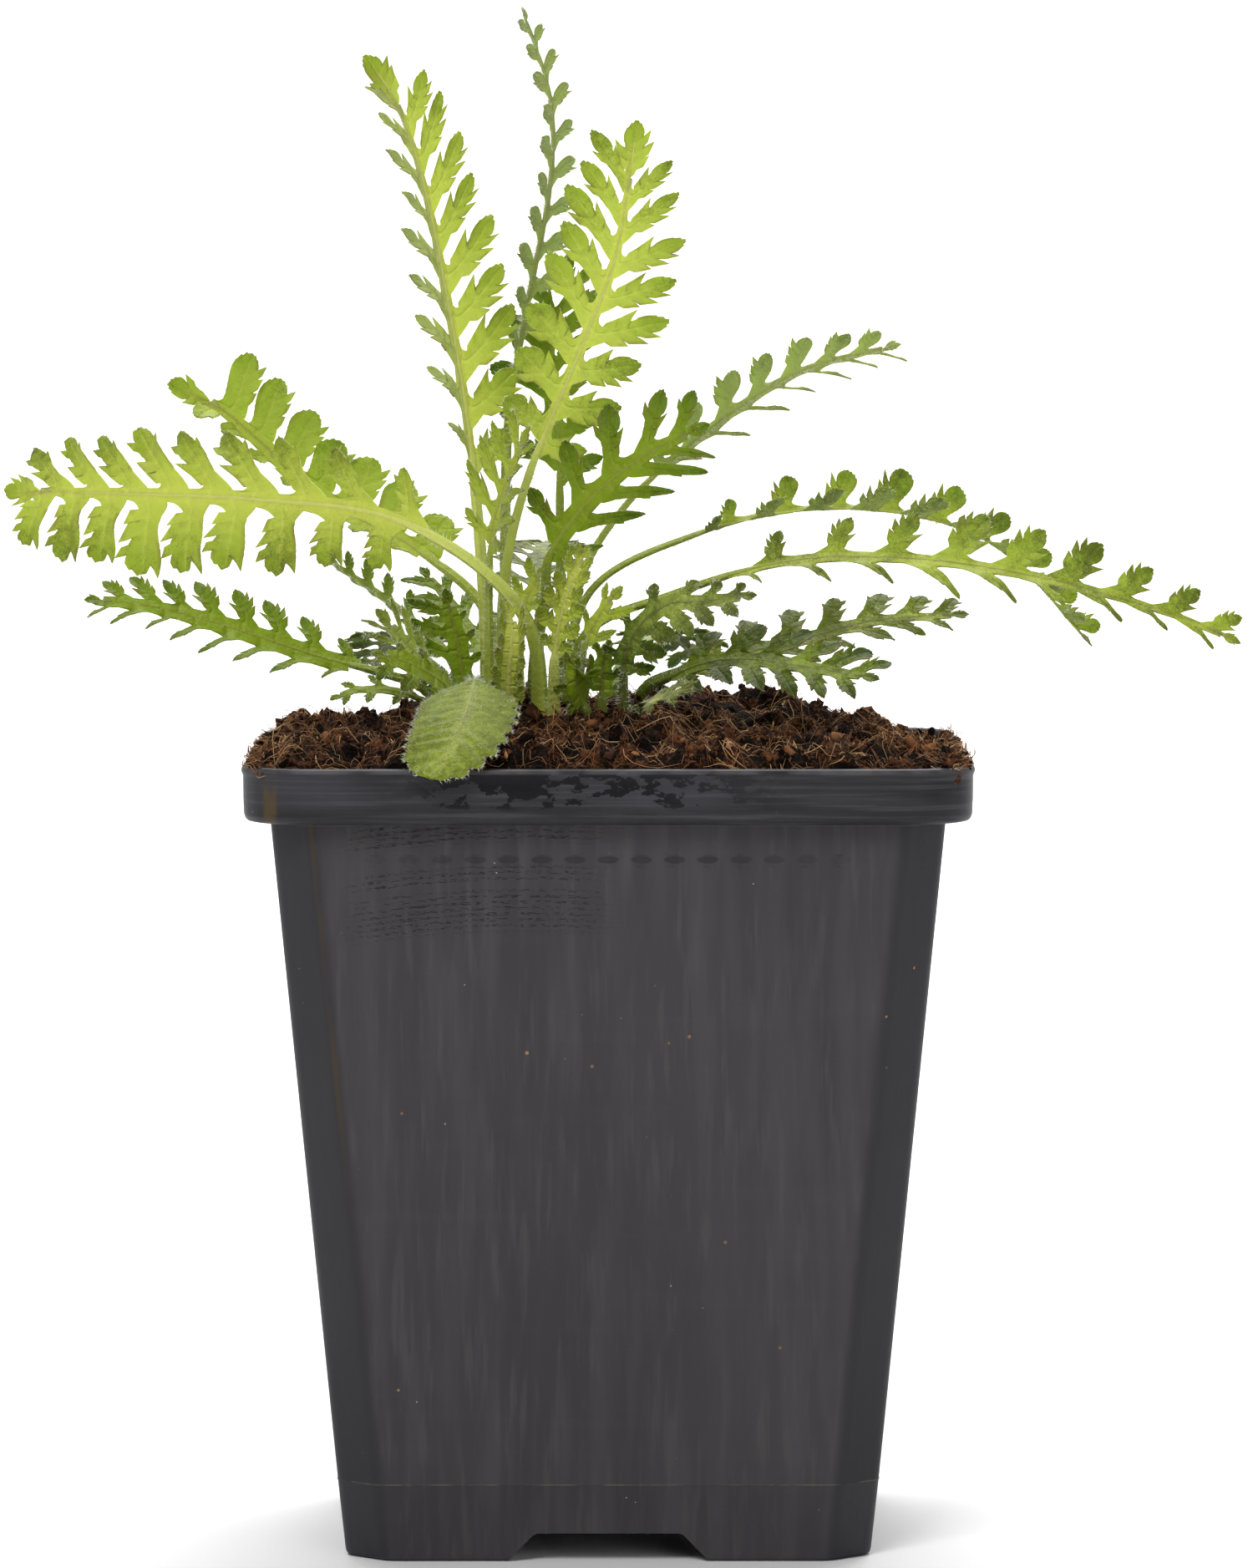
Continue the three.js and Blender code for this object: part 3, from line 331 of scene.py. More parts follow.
class Finish:
    """A material and its nodes."""

    def __init__(self, name, **constants):
        self.material = bpy.data.materials.new(name)
        self.material.use_nodes = True
        self.tree = self.material.node_tree
        self.shader = self.tree.nodes["Principled BSDF"]
        for socket, value in constants.items():
            self.shader.inputs[socket.replace("_", " ")].default_value = value
        self.object = self.node("ShaderNodeTexCoord", {}, {}).outputs["Object"]

    def node(self, kind, settings, sockets):
        """Adds a node, sets it up, then gives its sockets their values or links."""
        node = self.tree.nodes.new(kind)
        for name, value in settings.items():
            setattr(node, name, value)
        for key, value in sockets.items():
            value = getattr(value, "socket", value)
            if isinstance(value, bpy.types.NodeSocket):
                self.tree.links.new(value, node.inputs[key])
            else:
                node.inputs[key].default_value = value
        return node

    def noise(self, scale, detail=3.0, stretch=(1, 1, 1), rough=0.55):
        """Noise from 0 to 1 over the object, finer with scale, stretched along its axes."""
        mapped = self.node("ShaderNodeMapping", {}, {"Vector": self.object, "Scale": stretch})
        settings = {"Vector": mapped.outputs[0], "Scale": scale, "Detail": detail, "Roughness": rough}
        return Number(self, self.node("ShaderNodeTexNoise", {}, settings).outputs[0])

    def spots(self, scale):
        """Distance to the nearest of many scattered points."""
        node = self.node("ShaderNodeTexVoronoi", {}, {"Vector": self.object, "Scale": scale})
        return Number(self, node.outputs["Distance"])

    def numbers(self, name):
        """The three numbers that a mesh attribute holds."""
        stored = self.node("ShaderNodeAttribute", {"attribute_name": name}, {})
        parts = self.node("ShaderNodeSeparateXYZ", {}, {0: stored.outputs["Vector"]})
        return [Number(self, socket) for socket in parts.outputs]

    def places(self):
        """The object's own x, y and z, in metres."""
        parts = self.node("ShaderNodeSeparateXYZ", {}, {0: self.object})
        return [Number(self, socket) for socket in parts.outputs]

    def blend(self, factor, first, second):
        """A colour between two, by a factor."""
        sockets = {0: factor, 6: first, 7: second}
        return self.node("ShaderNodeMix", {"data_type": "RGBA"}, sockets).outputs[2]

    def finish(self, colour, roughness=None, height=None, depth=0.0):
        """Links the shader: its colour, roughness, and a bump of that depth in metres."""
        self.tree.links.new(colour, self.shader.inputs["Base Color"])
        if roughness is not None:
            self.tree.links.new(roughness.socket, self.shader.inputs["Roughness"])
        if height is not None:
            bump = self.node("ShaderNodeBump", {}, {"Height": height, "Distance": depth, "Strength": 1.0})
            self.tree.links.new(bump.outputs[0], self.shader.inputs["Normal"])
        return self.material


def leaf_finish(name, blade, heart, under, stalk, fuzz):
    """A hairy leaf: lighter and yellower by the midrib, with paler veins, a grey underside, a thin
    brown edge and a fine mottle. Its stalk is pale, and nearer the blade's green low down."""
    made = Finish(name, Subsurface_Weight=0.22, Subsurface_Scale=0.0012,
                  Subsurface_Radius=(0.6, 1.0, 0.25), Sheen_Weight=0.02, Sheen_Roughness=0.5,
                  Specular_IOR_Level=0.14)
    beneath, vein, edge = made.numbers("leaf_face")
    bare, hair, tone_and_shade = made.numbers("leaf_part")
    outward, along, chance = made.numbers("leaf_place")
    mottle = made.noise(3200, 3)
    patch = made.noise(120, 2)
    crease = made.noise(640, 3)
    near = (1 - outward) ** 1.4
    colour = made.blend(near * 0.68, tone(*blade), tone(*heart))
    colour = made.blend(vein * 0.45, colour, tone(*heart))
    colour = made.blend(beneath * 0.62, colour, tone(*under))
    colour = made.blend(bare * 0.85, colour, tone(*stalk))
    low = 1 - along.between(0.02, 0.42)
    colour = made.blend(bare * low * 0.6, colour, tone(*blade))
    shade = (mottle - 0.5) * 0.8 + (patch - 0.5) * 0.35 + (crease - 0.5) * 0.8
    shade = shade + (outward - 0.45) * 0.35 + (chance - 0.5) * 0.4
    # painted shade: each leaf's own darkness number darkens the whole leaf, partly as its darker tone and
    # partly as shade on the leaves low in the plant and on the hanging leaf; below zero it makes young
    # leaves yellower
    shade = shade * (1 - bare * 0.6) + tone_and_shade
    dark = [0.42 * part for part in blade]
    colour = made.blend(shade.between(0.0, 0.8) * 0.8, colour, tone(*dark))
    colour = made.blend((0 - shade).between(0.0, 0.9) * 0.5, colour, tone(*heart))
    rim = edge * made.noise(300, 1).between(0.35, 0.6)
    colour = made.blend(rim * 0.55, colour, tone(118, 92, 50))
    colour = made.blend(hair * 0.9, colour, tone(*fuzz))
    height = made.noise(1500, 2) + crease * 1.4 + vein * -0.8
    return made.finish(colour, 0.42 + beneath * 0.2 + mottle * 0.12, height, 0.00018)


def soil_finish(name, dark, light, grain):
    """Moist peat: near black, and darker in its holes with painted shade, lighter on the tops of its
    heap with painted light, and redder and lighter on its crumbs and fibres.
    """
    made = Finish(name, Specular_IOR_Level=0.12)
    _, _, chance = made.numbers("leaf_place")
    clod = made.noise(260, 4)
    fleck = made.noise(1800, 3)
    # chance brings the peat top's painted shade and light, and each crumb's chance tone
    light_share = (clod - 0.5) * 2.4 + (fleck - 0.5) * 2.2 + 0.07 + chance
    colour = made.blend(light_share.between(0.15, 1.1), tone(*dark), tone(*light))
    height = clod + fleck * grain
    return made.finish(colour, 0.78 + fleck * 0.2, height, 0.0012)


def fibre_finish(name):
    """Peat fibres and wood bits: from dark red-brown to pale straw, each its own tone."""
    made = Finish(name, Specular_IOR_Level=0.15)
    _, _, chance = made.numbers("leaf_place")
    fleck = made.noise(900, 2)
    colour = made.blend(chance.between(0.0, 0.6), tone(42, 22, 12), tone(130, 84, 50))
    colour = made.blend(chance.between(0.6, 1.0), colour, tone(206, 168, 120))
    colour = made.blend(fleck.between(0.5, 0.8) * 0.4, colour, tone(44, 24, 14))
    return made.finish(colour, 0.65 + fleck * 0.2, fleck, 0.0001)


def pot_finish(name):
    """Moulded charcoal plastic: soft sheen, faint upright flow streaks, scuffs and dark wet marks
    under and on the rim, brown stains at the left, a dusty parting line and a few specks. Painted
    shade darkens the flat corner strips and the dimples, and painted highlights run along the rim
    band's lower part and the top of its lip."""
    made = Finish(name, Specular_IOR_Level=0.13)
    x, y, z = made.places()
    front = y.between(-0.034, -0.038)
    streak = made.noise(260, 2, (1, 1, 0.035))
    broad = made.noise(60, 2, (1, 1, 0.08))
    brushed = made.noise(300, 3, (0.06, 0.06, 1))
    combed = made.noise(1500, 3, (0.03, 0.03, 1))
    grain = made.noise(2500, 2)
    cloud = made.noise(30, 3)
    band = z.between(0.1132, 0.1136)
    fine_streak = made.noise(700, 2, (1, 1, 0.02))
    colour = made.blend(streak.between(0.4, 0.7) * 0.8, tone(56, 54, 56), tone(66, 64, 66))
    colour = made.blend(fine_streak.between(0.5, 0.75) * 0.5, colour, tone(75, 73, 74))
    colour = made.blend(broad.between(0.3, 0.8) * 0.35, colour, tone(71, 69, 70))
    colour = made.blend(brushed.between(0.5, 0.75) * 0.06, colour, tone(82, 80, 81))
    colour = made.blend(cloud.between(0.5, 0.9) * 0.25, colour, tone(52, 51, 53))
    taper = z * ((SHOULDER_HALF - FOOT_HALF) / SHOULDER) + FOOT_HALF * MM
    strip = x.size() + y.size() - taper * 2.0 + CHAMFER * MM
    # painted shade: the flat corner strips are darkened and made bluer, as they turn away from the light
    # in front
    colour = made.blend(strip.between(-0.0016, -0.0002) * 0.85, colour, tone(46, 45, 49))
    colour = made.blend(band, colour, tone(36, 35, 38))
    colour = made.blend(band * brushed.between(0.42, 0.72) * 0.6, colour, tone(54, 54, 58))
    colour = made.blend(band * combed.between(0.45, 0.7) * 0.7, colour, tone(66, 66, 70))
    # painted highlight along the lower part of the rim band
    shine = made.noise(28, 2, (1, 1, 0.4)).between(0.45, 0.65) * band * z.between(0.1145, 0.117)
    colour = made.blend(shine * 0.4, colour, tone(66, 66, 71))
    # painted shade: dark lens-shaped marks in the dimples of the row under the rim
    across = y + (x - y) * (x.size() - y.size()).between(0.0005, -0.0005)
    dimple_shade = across.wave(DIMPLE_SPACING * MM)
    fade = across.size().between(0.044, 0.014)
    drop = ((z - 0.1081) * 1900.0) ** 2.0 + (z - 0.1085).between(0.0, 0.0002) * 3.0
    dimple_shade = (dimple_shade + 0.7 - drop).between(0.0, 0.5)
    colour = made.blend(dimple_shade * fade * 0.6, colour, tone(36, 35, 39))
    drip = made.noise(330, 2, (1, 1, 0.12)).between(0.5, 0.68) * z.between(0.09, 0.106)
    colour = made.blend(drip * fade * 0.35, colour, tone(50, 49, 52))
    left = x.between(0.004, -0.008) * x.between(-0.042, -0.034)
    arch = z + (x + 0.012) ** 2.0 * 3.0
    under_rim = arch.between(0.1105, 0.1115)
    at_dimples = arch.between(0.1045, 0.1052) * arch.between(0.1078, 0.1068)
    lower = arch.between(0.0965, 0.0985) * arch.between(0.1045, 0.103)
    zones = (under_rim + at_dimples + lower) * front * (1 - band)
    scuff = made.noise(3400, 2, (0.35, 0.35, 1.8)).between(0.55, 0.6)
    rows = (arch.wave(0.0009) + made.noise(240, 2, (0.4, 0.4, 1)) * 2.0).between(0.6, 1.3)
    scuffs = scuff * rows * zones * left
    colour = made.blend(scuffs * 0.65, colour, tone(26, 25, 28))
    middle = x.between(-0.036, -0.02) * x.between(0.034, 0.004)
    pooled = made.noise(290, 5, (0.6, 0.6, 1.3), rough=0.64) + z.between(0.1155, 0.119) * 0.08
    wet = pooled.between(0.575, 0.588) * band * middle * z.between(0.1155, 0.1165)
    colour = made.blend(wet * 0.92, colour, tone(12, 12, 16))
    edge = (x + taper - CHAMFER * MM).size()
    stain = edge.between(0.0007, 0.0001) * z.between(0.04, 0.09) * front * (1 - band)
    colour = made.blend(stain * streak.between(0.3, 0.6) * 0.7, colour, tone(72, 60, 34))
    rust = (x + 0.0508).size().between(0.0014, 0.0006) * band * y.between(-0.04, -0.046)
    colour = made.blend(rust * made.noise(200, 2).between(0.3, 0.6) * 0.6, colour, tone(84, 68, 36))
    speck = made.spots(190).between(0.06, 0.045) * made.noise(50, 1).between(0.55, 0.65)
    colour = made.blend(speck * 0.8, colour, tone(158, 118, 82))
    lint = made.spots(430).between(0.06, 0.045) * made.noise(80, 1).between(0.6, 0.7)
    colour = made.blend(lint * 0.6, colour, tone(176, 170, 160))
    dust = z.between(0.1205, 0.1222) * made.noise(200, 2).between(0.5, 0.7)
    colour = made.blend(dust * 0.4, colour, tone(86, 62, 46))
    seam = (z - PARTING_HEIGHT * MM).size().between(0.00016, 0.00006)
    colour = made.blend(seam * made.noise(260, 3).between(0.42, 0.62) * 0.4, colour, tone(110, 100, 84))
    # painted highlight: a thin light line along the top of the rounded lip
    lip = z.between(0.1211, 0.1214) * made.noise(160, 2).between(0.3, 0.6)
    colour = made.blend(lip * 0.5, colour, tone(92, 91, 94))
    roughness = 0.42 + streak * 0.12 + cloud * 0.08 - wet * 0.15 - band * 0.06 + scuffs * 0.2
    height = grain * 0.5 + streak * 1.5 + broad * 2.0 - scuffs
    return made.finish(colour, roughness, height, 0.00006)


def floor_finish(name):
    """Matt near white, faintly clouded."""
    made = Finish(name, Roughness=0.75, Specular_IOR_Level=0.2)
    cloud = made.noise(3, 2)
    return made.finish(made.blend(cloud * 0.5, tone(250, 250, 250), tone(246, 246, 246)))


FINISHES = {
    "pot": pot_finish("charcoal_plastic"),
    "soil": soil_finish("moist_peat", (14, 6, 2), (112, 70, 42), 0.8),
    "crown": soil_finish("old_rootstock", (42, 34, 20), (120, 104, 62), 1.4),
    "leaf_bright": leaf_finish("bright_leaf", (142, 158, 44), (206, 213, 94), (168, 177, 120),
                               (206, 214, 114), (226, 228, 196)),
    "leaf_mid": leaf_finish("green_leaf", (138, 155, 42), (178, 188, 74), (158, 167, 108),
                            (160, 171, 76), (222, 226, 200)),
    "leaf_dark": leaf_finish("dark_leaf", (86, 107, 6), (134, 150, 34), (124, 136, 74),
                             (138, 152, 56), (204, 210, 186)),
    "leaf_silver": leaf_finish("silver_leaf", (120, 136, 44), (162, 174, 80), (162, 172, 124),
                               (148, 160, 80), (232, 236, 220)),
}


# Soil

SOIL_REACH = RIM_HALF - POT_WALL - 0.6
SOIL_FOOT = 7.5
SOIL_CELLS = 174
ROOT_LUMPS = (((-14, 0, 120.5), (15, 13.5, 10.5)), ((3, -2, 120.5), (9, 11, 9.5)),
              ((-5, -5, 120.5), (9, 11, 9)))


def soil_height(x, y):
    """The height of the model's soil: steep at the wall, higher round the rootstock and behind the
    plant, lowest at the back right corner, with gentle waves."""
    inward = RIM_HALF - POT_WALL - np.maximum(np.abs(x), np.abs(y))
    corner = smooth((x + y - 62) / 24)
    ridge = 3.6 * np.exp(-(((x - 8) / 34) ** 2) - ((y - 26) / 15) ** 2)
    mound = 3.0 * np.exp(-(((x + 7) / 20) ** 2) - ((y + 3) / 14) ** 2)
    heap = mix(121.2, 124.0 + ridge + mound, smooth(inward / 3.6))
    lumps = (0.9 * np.sin(0.41 * x + 1.1) * np.cos(0.37 * y - 0.4)
             + 0.6 * np.sin(0.83 * x - 0.51 * y + 2) + 0.4 * np.sin(1.3 * y + 0.9 * x))
    calm = 1 - 0.8 * mound / 3.0
    return heap - 6.5 * corner + lumps * calm * smooth(inward / 3 + 0.3)


def crumbly(x, y):
    """What crumbs add to the heap: folded noise of several sizes."""
    at = np.stack([x, y], -1)
    inward = SOIL_REACH - np.maximum(np.abs(x), np.abs(y))
    rounds = 1.5 * (1 - 2 * np.abs(rough(at, 7.5, 3))) + 1.2 * (1 - 2 * np.abs(rough(at, 3.4, 5)))
    fine = 0.75 * (1 - 2 * np.abs(rough(at, 1.7, 8))) + 0.5 * rough(at, 0.85, 11)
    return (rounds + fine) * mix(0.45, 0.8, smooth(inward / 5))


def pits(x, y):
    """How deep the holes between the clods go: where slow noise is high."""
    return 2.4 * smooth((rough(np.stack([x, y], -1), 4.6, 31) - 0.35) / 0.35)


def soil_surface(x, y):
    """The heap with its crumbs and holes, lower beside the middle and at the back right corner, with
    a bank and a clump of fibres in front of that corner."""
    beside = 1.3 * (1 - np.exp(-(((x - 4) / 28) ** 2))) + 0.9 * smooth((x - 34) / 14)
    corner = 5.0 * smooth((x + y - 52) / 22)
    clump = 4.4 * np.exp(-(((x - 42.5) / 4.5) ** 2) - ((y - 20) / 6) ** 2)
    bank = 1.7 * np.exp(-(((x - 30) / 9) ** 2) - ((y - 26) / 12) ** 2)
    inward = smooth((SOIL_REACH - np.maximum(np.abs(x), np.abs(y))) / 3)
    return soil_height(x, y) + crumbly(x, y) + clump + bank - (beside + corner + pits(x, y)) * inward


def ground(x, y):
    """The top of the peat, the rootstock's lumps or the rim, whichever is higher."""
    on_rim = np.maximum(np.abs(x), np.abs(y)) > SOIL_REACH + 0.2
    top = np.maximum(soil_surface(x, y), np.where(on_rim, POT_HEIGHT, 0))
    for (at_x, at_y, at_z), (size_x, size_y, size_z) in ROOT_LUMPS:
        inside = 1 - ((x - at_x) / size_x) ** 2 - ((y - at_y) / size_y) ** 2
        top = np.maximum(top, at_z + size_z * np.sqrt(np.maximum(inside, 0)) - 30 * (inside <= 0))
    return top


def round_square(a, b, reach, corner):
    """Moves the points of a square into one with rounded corners, most at its edge."""
    far = np.maximum(np.maximum(np.abs(a), np.abs(b)), 1e-9)
    near = np.minimum(np.abs(a), np.abs(b)) / far
    centre = reach - corner
    across = np.hypot(1, near)
    run = centre * (1 + near) / across
    bend = run + np.sqrt(np.maximum(run ** 2 - 2 * centre ** 2 + corner ** 2, 0))
    share = np.where(near * reach <= centre, 1, bend / (reach * across))
    scale = reach * mix(1, share, far ** 2)
    return a * scale, b * scale


def make_soil():
    """A fine grid of the crumbly heap, knocked sideways too, with sides down inside the pot and a
    flat underside."""
    line = np.linspace(-1, 1, SOIL_CELLS)
    x, y = round_square(*np.meshgrid(line, line), SOIL_REACH, RIM_CORNER)
    at = np.stack([x, y], -1)
    inner = smooth((SOIL_REACH - np.maximum(np.abs(x), np.abs(y))) / 1.2)
    height = soil_surface(x, y)
    x = x + inner * (0.55 * rough(at, 2.1, 21) + 0.3 * rough(at, 1.1, 23))
    y = y + inner * (0.55 * rough(at, 2.3, 27) + 0.3 * rough(at, 1.2, 29))
    top = np.stack([x, y, height], -1)
    shape = Shape()
    cells = SOIL_CELLS
    index = np.arange(cells * cells).reshape(cells, cells)
    loop = np.concatenate([index[0, :-1], index[:-1, -1], index[-1, :0:-1], index[:0:-1, 0]])
    edge = top.reshape(-1, 3)[loop]
    levels = [(117.6, 0.998), (116.2, 0.985), (114.4, 0.928), (60, 0.84), (SOIL_FOOT, 0.745)]
    rings = [np.stack([edge[:, 0] * share, edge[:, 1] * share, np.full(len(edge), z)], -1)
             for z, share in levels]
    around = np.arange(len(loop))
    after = (around + 1) % len(loop)
    starts = [loop] + [cells * cells + step * len(loop) + around for step in range(len(rings))]
    walls = [np.stack([high[around], low[around], low[after], high[after]], -1)
             for high, low in zip(starts, starts[1:])]
    middle = cells * cells + len(rings) * len(loop)
    under = np.stack([starts[-1][after], starts[-1][around], np.full(len(loop), middle)], -1)
    flat = np.concatenate([top.reshape(-1, 3), *rings, [[0, 0, SOIL_FOOT]]])
    # painted shade and light: darker in the pits and between the crumbs, lighter on the crumbly tops,
    # kept in leaf_place for the peat's finish
    light = np.clip(0.22 * crumbly(x, y) - 0.25 * pits(x, y), -0.6, 0.5).ravel()
    look = np.zeros_like(flat)
    look[:len(light), 2] = light
    shape.add(flat, [grid_faces(cells, cells)] + walls + [under], leaf_place=look)
    return shape.piece("peat", "soil", sharp=50, weld=True)


def ball(rounds):
    """An icosahedron's points and faces, split so many times, on a unit ball."""
    mesh = bmesh.new()
    bmesh.ops.create_icosphere(mesh, subdivisions=rounds, radius=1)
    points = np.array([v.co for v in mesh.verts])
    faces = np.array([[v.index for v in f.verts] for f in mesh.faces])
    mesh.free()
    return points, faces


def soil_places(count, edge=0.965, border=0.0):
    """Scattered places on the heap, none over the wall, some of them on the slope at the wall."""
    a, b = CHANCE.uniform(-edge, edge, (2, count))
    push = CHANCE.uniform(0, 1, count) < border
    scale = CHANCE.uniform(0.9, 0.985, count) / np.maximum(np.maximum(np.abs(a), np.abs(b)), 1e-6)
    a, b = np.where(push, a * scale, a), np.where(push, b * scale, b)
    return round_square(a, b, SOIL_REACH, RIM_CORNER)


def foot_places(count):
    """Scattered places round the leaves' feet."""
    return CHANCE.uniform(-31, 14, count), CHANCE.uniform(-18, 16, count)


def rim_places(count):
    """Scattered places on and beside the rim's two sides, most of them to the front, drawn in
    where the rim turns its corners."""
    x = CHANCE.choice([-1.0, 1.0], count) * CHANCE.uniform(50.5, 54.8, count)
    y = mix(-53, 36, CHANCE.uniform(0, 1, count) ** 1.3)
    middle = RIM_HALF - RIM_CORNER
    over_x, over_y = np.maximum(np.abs(x) - middle, 0), np.maximum(np.abs(y) - middle, 0)
    share = np.minimum(1, (RIM_CORNER - 0.5) / np.maximum(np.hypot(over_x, over_y), 1e-6))
    return (np.sign(x) * (np.minimum(np.abs(x), middle) + over_x * share),
            np.sign(y) * (np.minimum(np.abs(y), middle) + over_y * share))


def any_turn(count):
    """Random turns, as matrices."""
    first = unit(CHANCE.normal(size=(count, 3)))
    second = unit(np.cross(first, CHANCE.normal(size=(count, 3))))
    return np.stack([first, second, np.cross(first, second)], -1)


def add_crumbs(shape, places, sizes, rounds, flat):
    """Adds clods: balls pushed in and out at random, stretched, turned and half sunk."""
    points, faces = ball(rounds)
    x, y = places
    count = len(x)
    size = mix(sizes[0], sizes[1], CHANCE.uniform(0, 1, count) ** 2.5)
    knocked = points[None] * (1 + CHANCE.normal(0, 0.2, (count, len(points), 1)))
    stretch = CHANCE.uniform([0.9, 0.6, flat], [1.35, 1.0, flat * 1.6], (count, 3))
    turned = np.einsum("kij,kpj->kpi", any_turn(count), knocked * stretch[:, None])
    z = ground(x, y) + size * CHANCE.uniform(-0.35, 0.35, count)
    place = np.stack([x, y, z], -1)
    placed = turned * size[:, None, None] + place[:, None]
    chance = np.repeat(CHANCE.uniform(0, 0.75, count)[:, None], len(points), 1)
    look = np.stack([0 * chance, 0 * chance, chance], -1)
    index = faces[None] + len(points) * np.arange(count)[:, None, None]
    shape.add(placed, [index], leaf_place=look)


def add_fibres(shape, places, lengths, thick, lift, steps=7, bent=0.9, pale=1.3):
    """Adds fibres: three-sided tubes that bend across the heap and rise in a low arc."""
    t = np.linspace(0, 1, steps)[None, :]
    x, y = places
    count = len(x)
    heading = CHANCE.uniform(0, 2 * np.pi, (count, 1))
    length = mix(lengths[0], lengths[1], CHANCE.uniform(0, 1, (count, 1)) ** 1.6)
    bend = CHANCE.normal(0, bent, (count, 1)) * t
    wiggle = CHANCE.normal(0, 0.25, (count, 1)) * np.sin(9 * t)
    step = length / (steps - 1)
    px = x[:, None] + np.cumsum(np.cos(heading + bend + wiggle) * step, 1)
    py = y[:, None] + np.cumsum(np.sin(heading + bend + wiggle) * step, 1)
    px, py = np.clip(px, -RIM_HALF, RIM_HALF), np.clip(py, -SOIL_REACH, SOIL_REACH)
    rise = mix(lift[0], lift[1], CHANCE.uniform(0, 1, (count, 1)) ** 2) * length
    z = ground(px, py) + 0.15 + rise * np.sin(np.pi * t * CHANCE.uniform(0.5, 1.1, (count, 1)))
    line = np.stack([px, py, z], -1)
    along = unit(np.gradient(line, axis=1))
    aside = unit(np.cross(along, [0.1, 0.2, 1.0]))
    other = np.cross(along, aside)
    radius = mix(thick[0], thick[1], CHANCE.uniform(0, 1, (count, 1)) ** 2)
    taper = (1 - 0.75 * t ** 2) * radius
    cosine, sine = np.cos(THREE_TURNS)[:, None], np.sin(THREE_TURNS)[:, None]
    ring = aside[:, :, None] * cosine + other[:, :, None] * sine
    points = line[:, :, None] + ring * taper[:, :, None, None]
    chance = CHANCE.uniform(0, 1, (count, 1, 1, 1)) ** pale
    cells = points.shape[:3]
    look = np.concatenate([np.zeros((*cells, 2)), np.broadcast_to(chance, (*cells, 1))], -1)
    base = 3 * steps * np.arange(count)[:, None, None]
    sides = grid_faces(steps, 3, closed=True)[None] + base
    top = 3 * (steps - 1)
    caps = np.array([[2, 1, 0], [top, top + 1, top + 2]])[None] + base
    shape.add(points, [sides, caps], leaf_place=look)


def make_litter():
    """Clods, wood bits and fibres, which lie loose on the peat."""
    clods = Shape()
    add_crumbs(clods, soil_places(4300, border=0.35), (0.24, 0.85), 1, 0.6)
    add_crumbs(clods, foot_places(1100), (0.24, 0.8), 1, 0.6)
    add_crumbs(clods, rim_places(800), (0.28, 0.98), 1, 0.6)
    add_crumbs(clods, soil_places(140, border=0.35), (0.8, 1.6), 2, 0.6)
    clods.piece("peat_crumbs", slot="soil")
    bits = Shape()
    add_crumbs(bits, soil_places(420, border=0.35), (0.4, 1.5), 1, 0.14)
    add_fibres(bits, soil_places(2600, 0.95, 0.4), (1.5, 7), (0.04, 0.11), (0.0, 0.16), 5, 1.4)
    add_fibres(bits, rim_places(420), (1.5, 6), (0.04, 0.1), (0.05, 0.3), 5, 1.4)
    add_fibres(bits, soil_places(600, 0.95), (1.2, 3), (0.05, 0.14), (0.3, 0.9), 4)
    add_fibres(bits, foot_places(300), (2, 7), (0.04, 0.1), (0.0, 0.2), 6, 1.4)
    bits.piece("peat_fibres", slot="soil").data.materials[0] = fibre_finish("peat_fibre")
    roots = Shape()
    add_fibres(roots, soil_places(1300, 0.95, 0.3), (4, 15), (0.035, 0.1), (0.0, 0.12), 8, 1.3, 0.6)
    add_fibres(roots, soil_places(430, 0.95, 0.2), (5, 15), (0.03, 0.065), (0.1, 0.4), 10, 1.2, 0.8)
    add_fibres(roots, rim_places(120), (4, 12), (0.03, 0.07), (0.1, 0.4), 10, 1.2, 0.8)
    roots.piece("peat_roots", slot="soil").data.materials[0] = fibre_finish("fine_root")


# Rootstock

def make_crown():
    """Three lumps in the soil, ribbed up and down by the bases of old leaves."""
    shape = Shape()
    turn = np.linspace(0, 2 * np.pi, 72, endpoint=False)[None, :]
    rise = np.linspace(-0.5, 0.5, 28)[:, None] * np.pi * 0.985
    for at, size in ROOT_LUMPS:
        ribs = 1 - 0.05 * np.abs(np.sin(9 * turn + 2 * rise)) - 0.03 * np.sin(23 * turn - 3 * rise)
        ball_x = np.cos(rise) * np.cos(turn) * ribs
        ball_y = np.cos(rise) * np.sin(turn) * ribs
        ball_z = np.sin(rise) * ribs
        add_tube(shape, np.stack([ball_x, ball_y, ball_z], -1) * size + at)
    return shape.piece("rootstock", "crown", sharp=60)


# Pot

def body_half(z):
    """Half the body's width at a height: a straight taper up to the shoulder."""
    return mix(FOOT_HALF, SHOULDER_HALF, np.minimum(z / SHOULDER, 1))


def quarter_ring(corner, side_half, half):
    """A quarter of a ring: a straight side, evenly divided, then its corner's points."""
    side = np.linspace(-1, 1, SIDE_POINTS, endpoint=False)
    straight = np.stack([np.full(SIDE_POINTS, half), side * side_half], -1)
    return np.concatenate([straight, corner])


def full_ring(quarter, z):
    """Four turns of a quarter, as one ring at a height."""
    turns = [np.array([[c, s], [-s, c]]) for c, s in ((1, 0), (0, 1), (-1, 0), (0, -1))]
    ring = np.concatenate([quarter @ turn for turn in turns])
    return np.concatenate([ring, np.full((len(ring), 1), z)], -1)


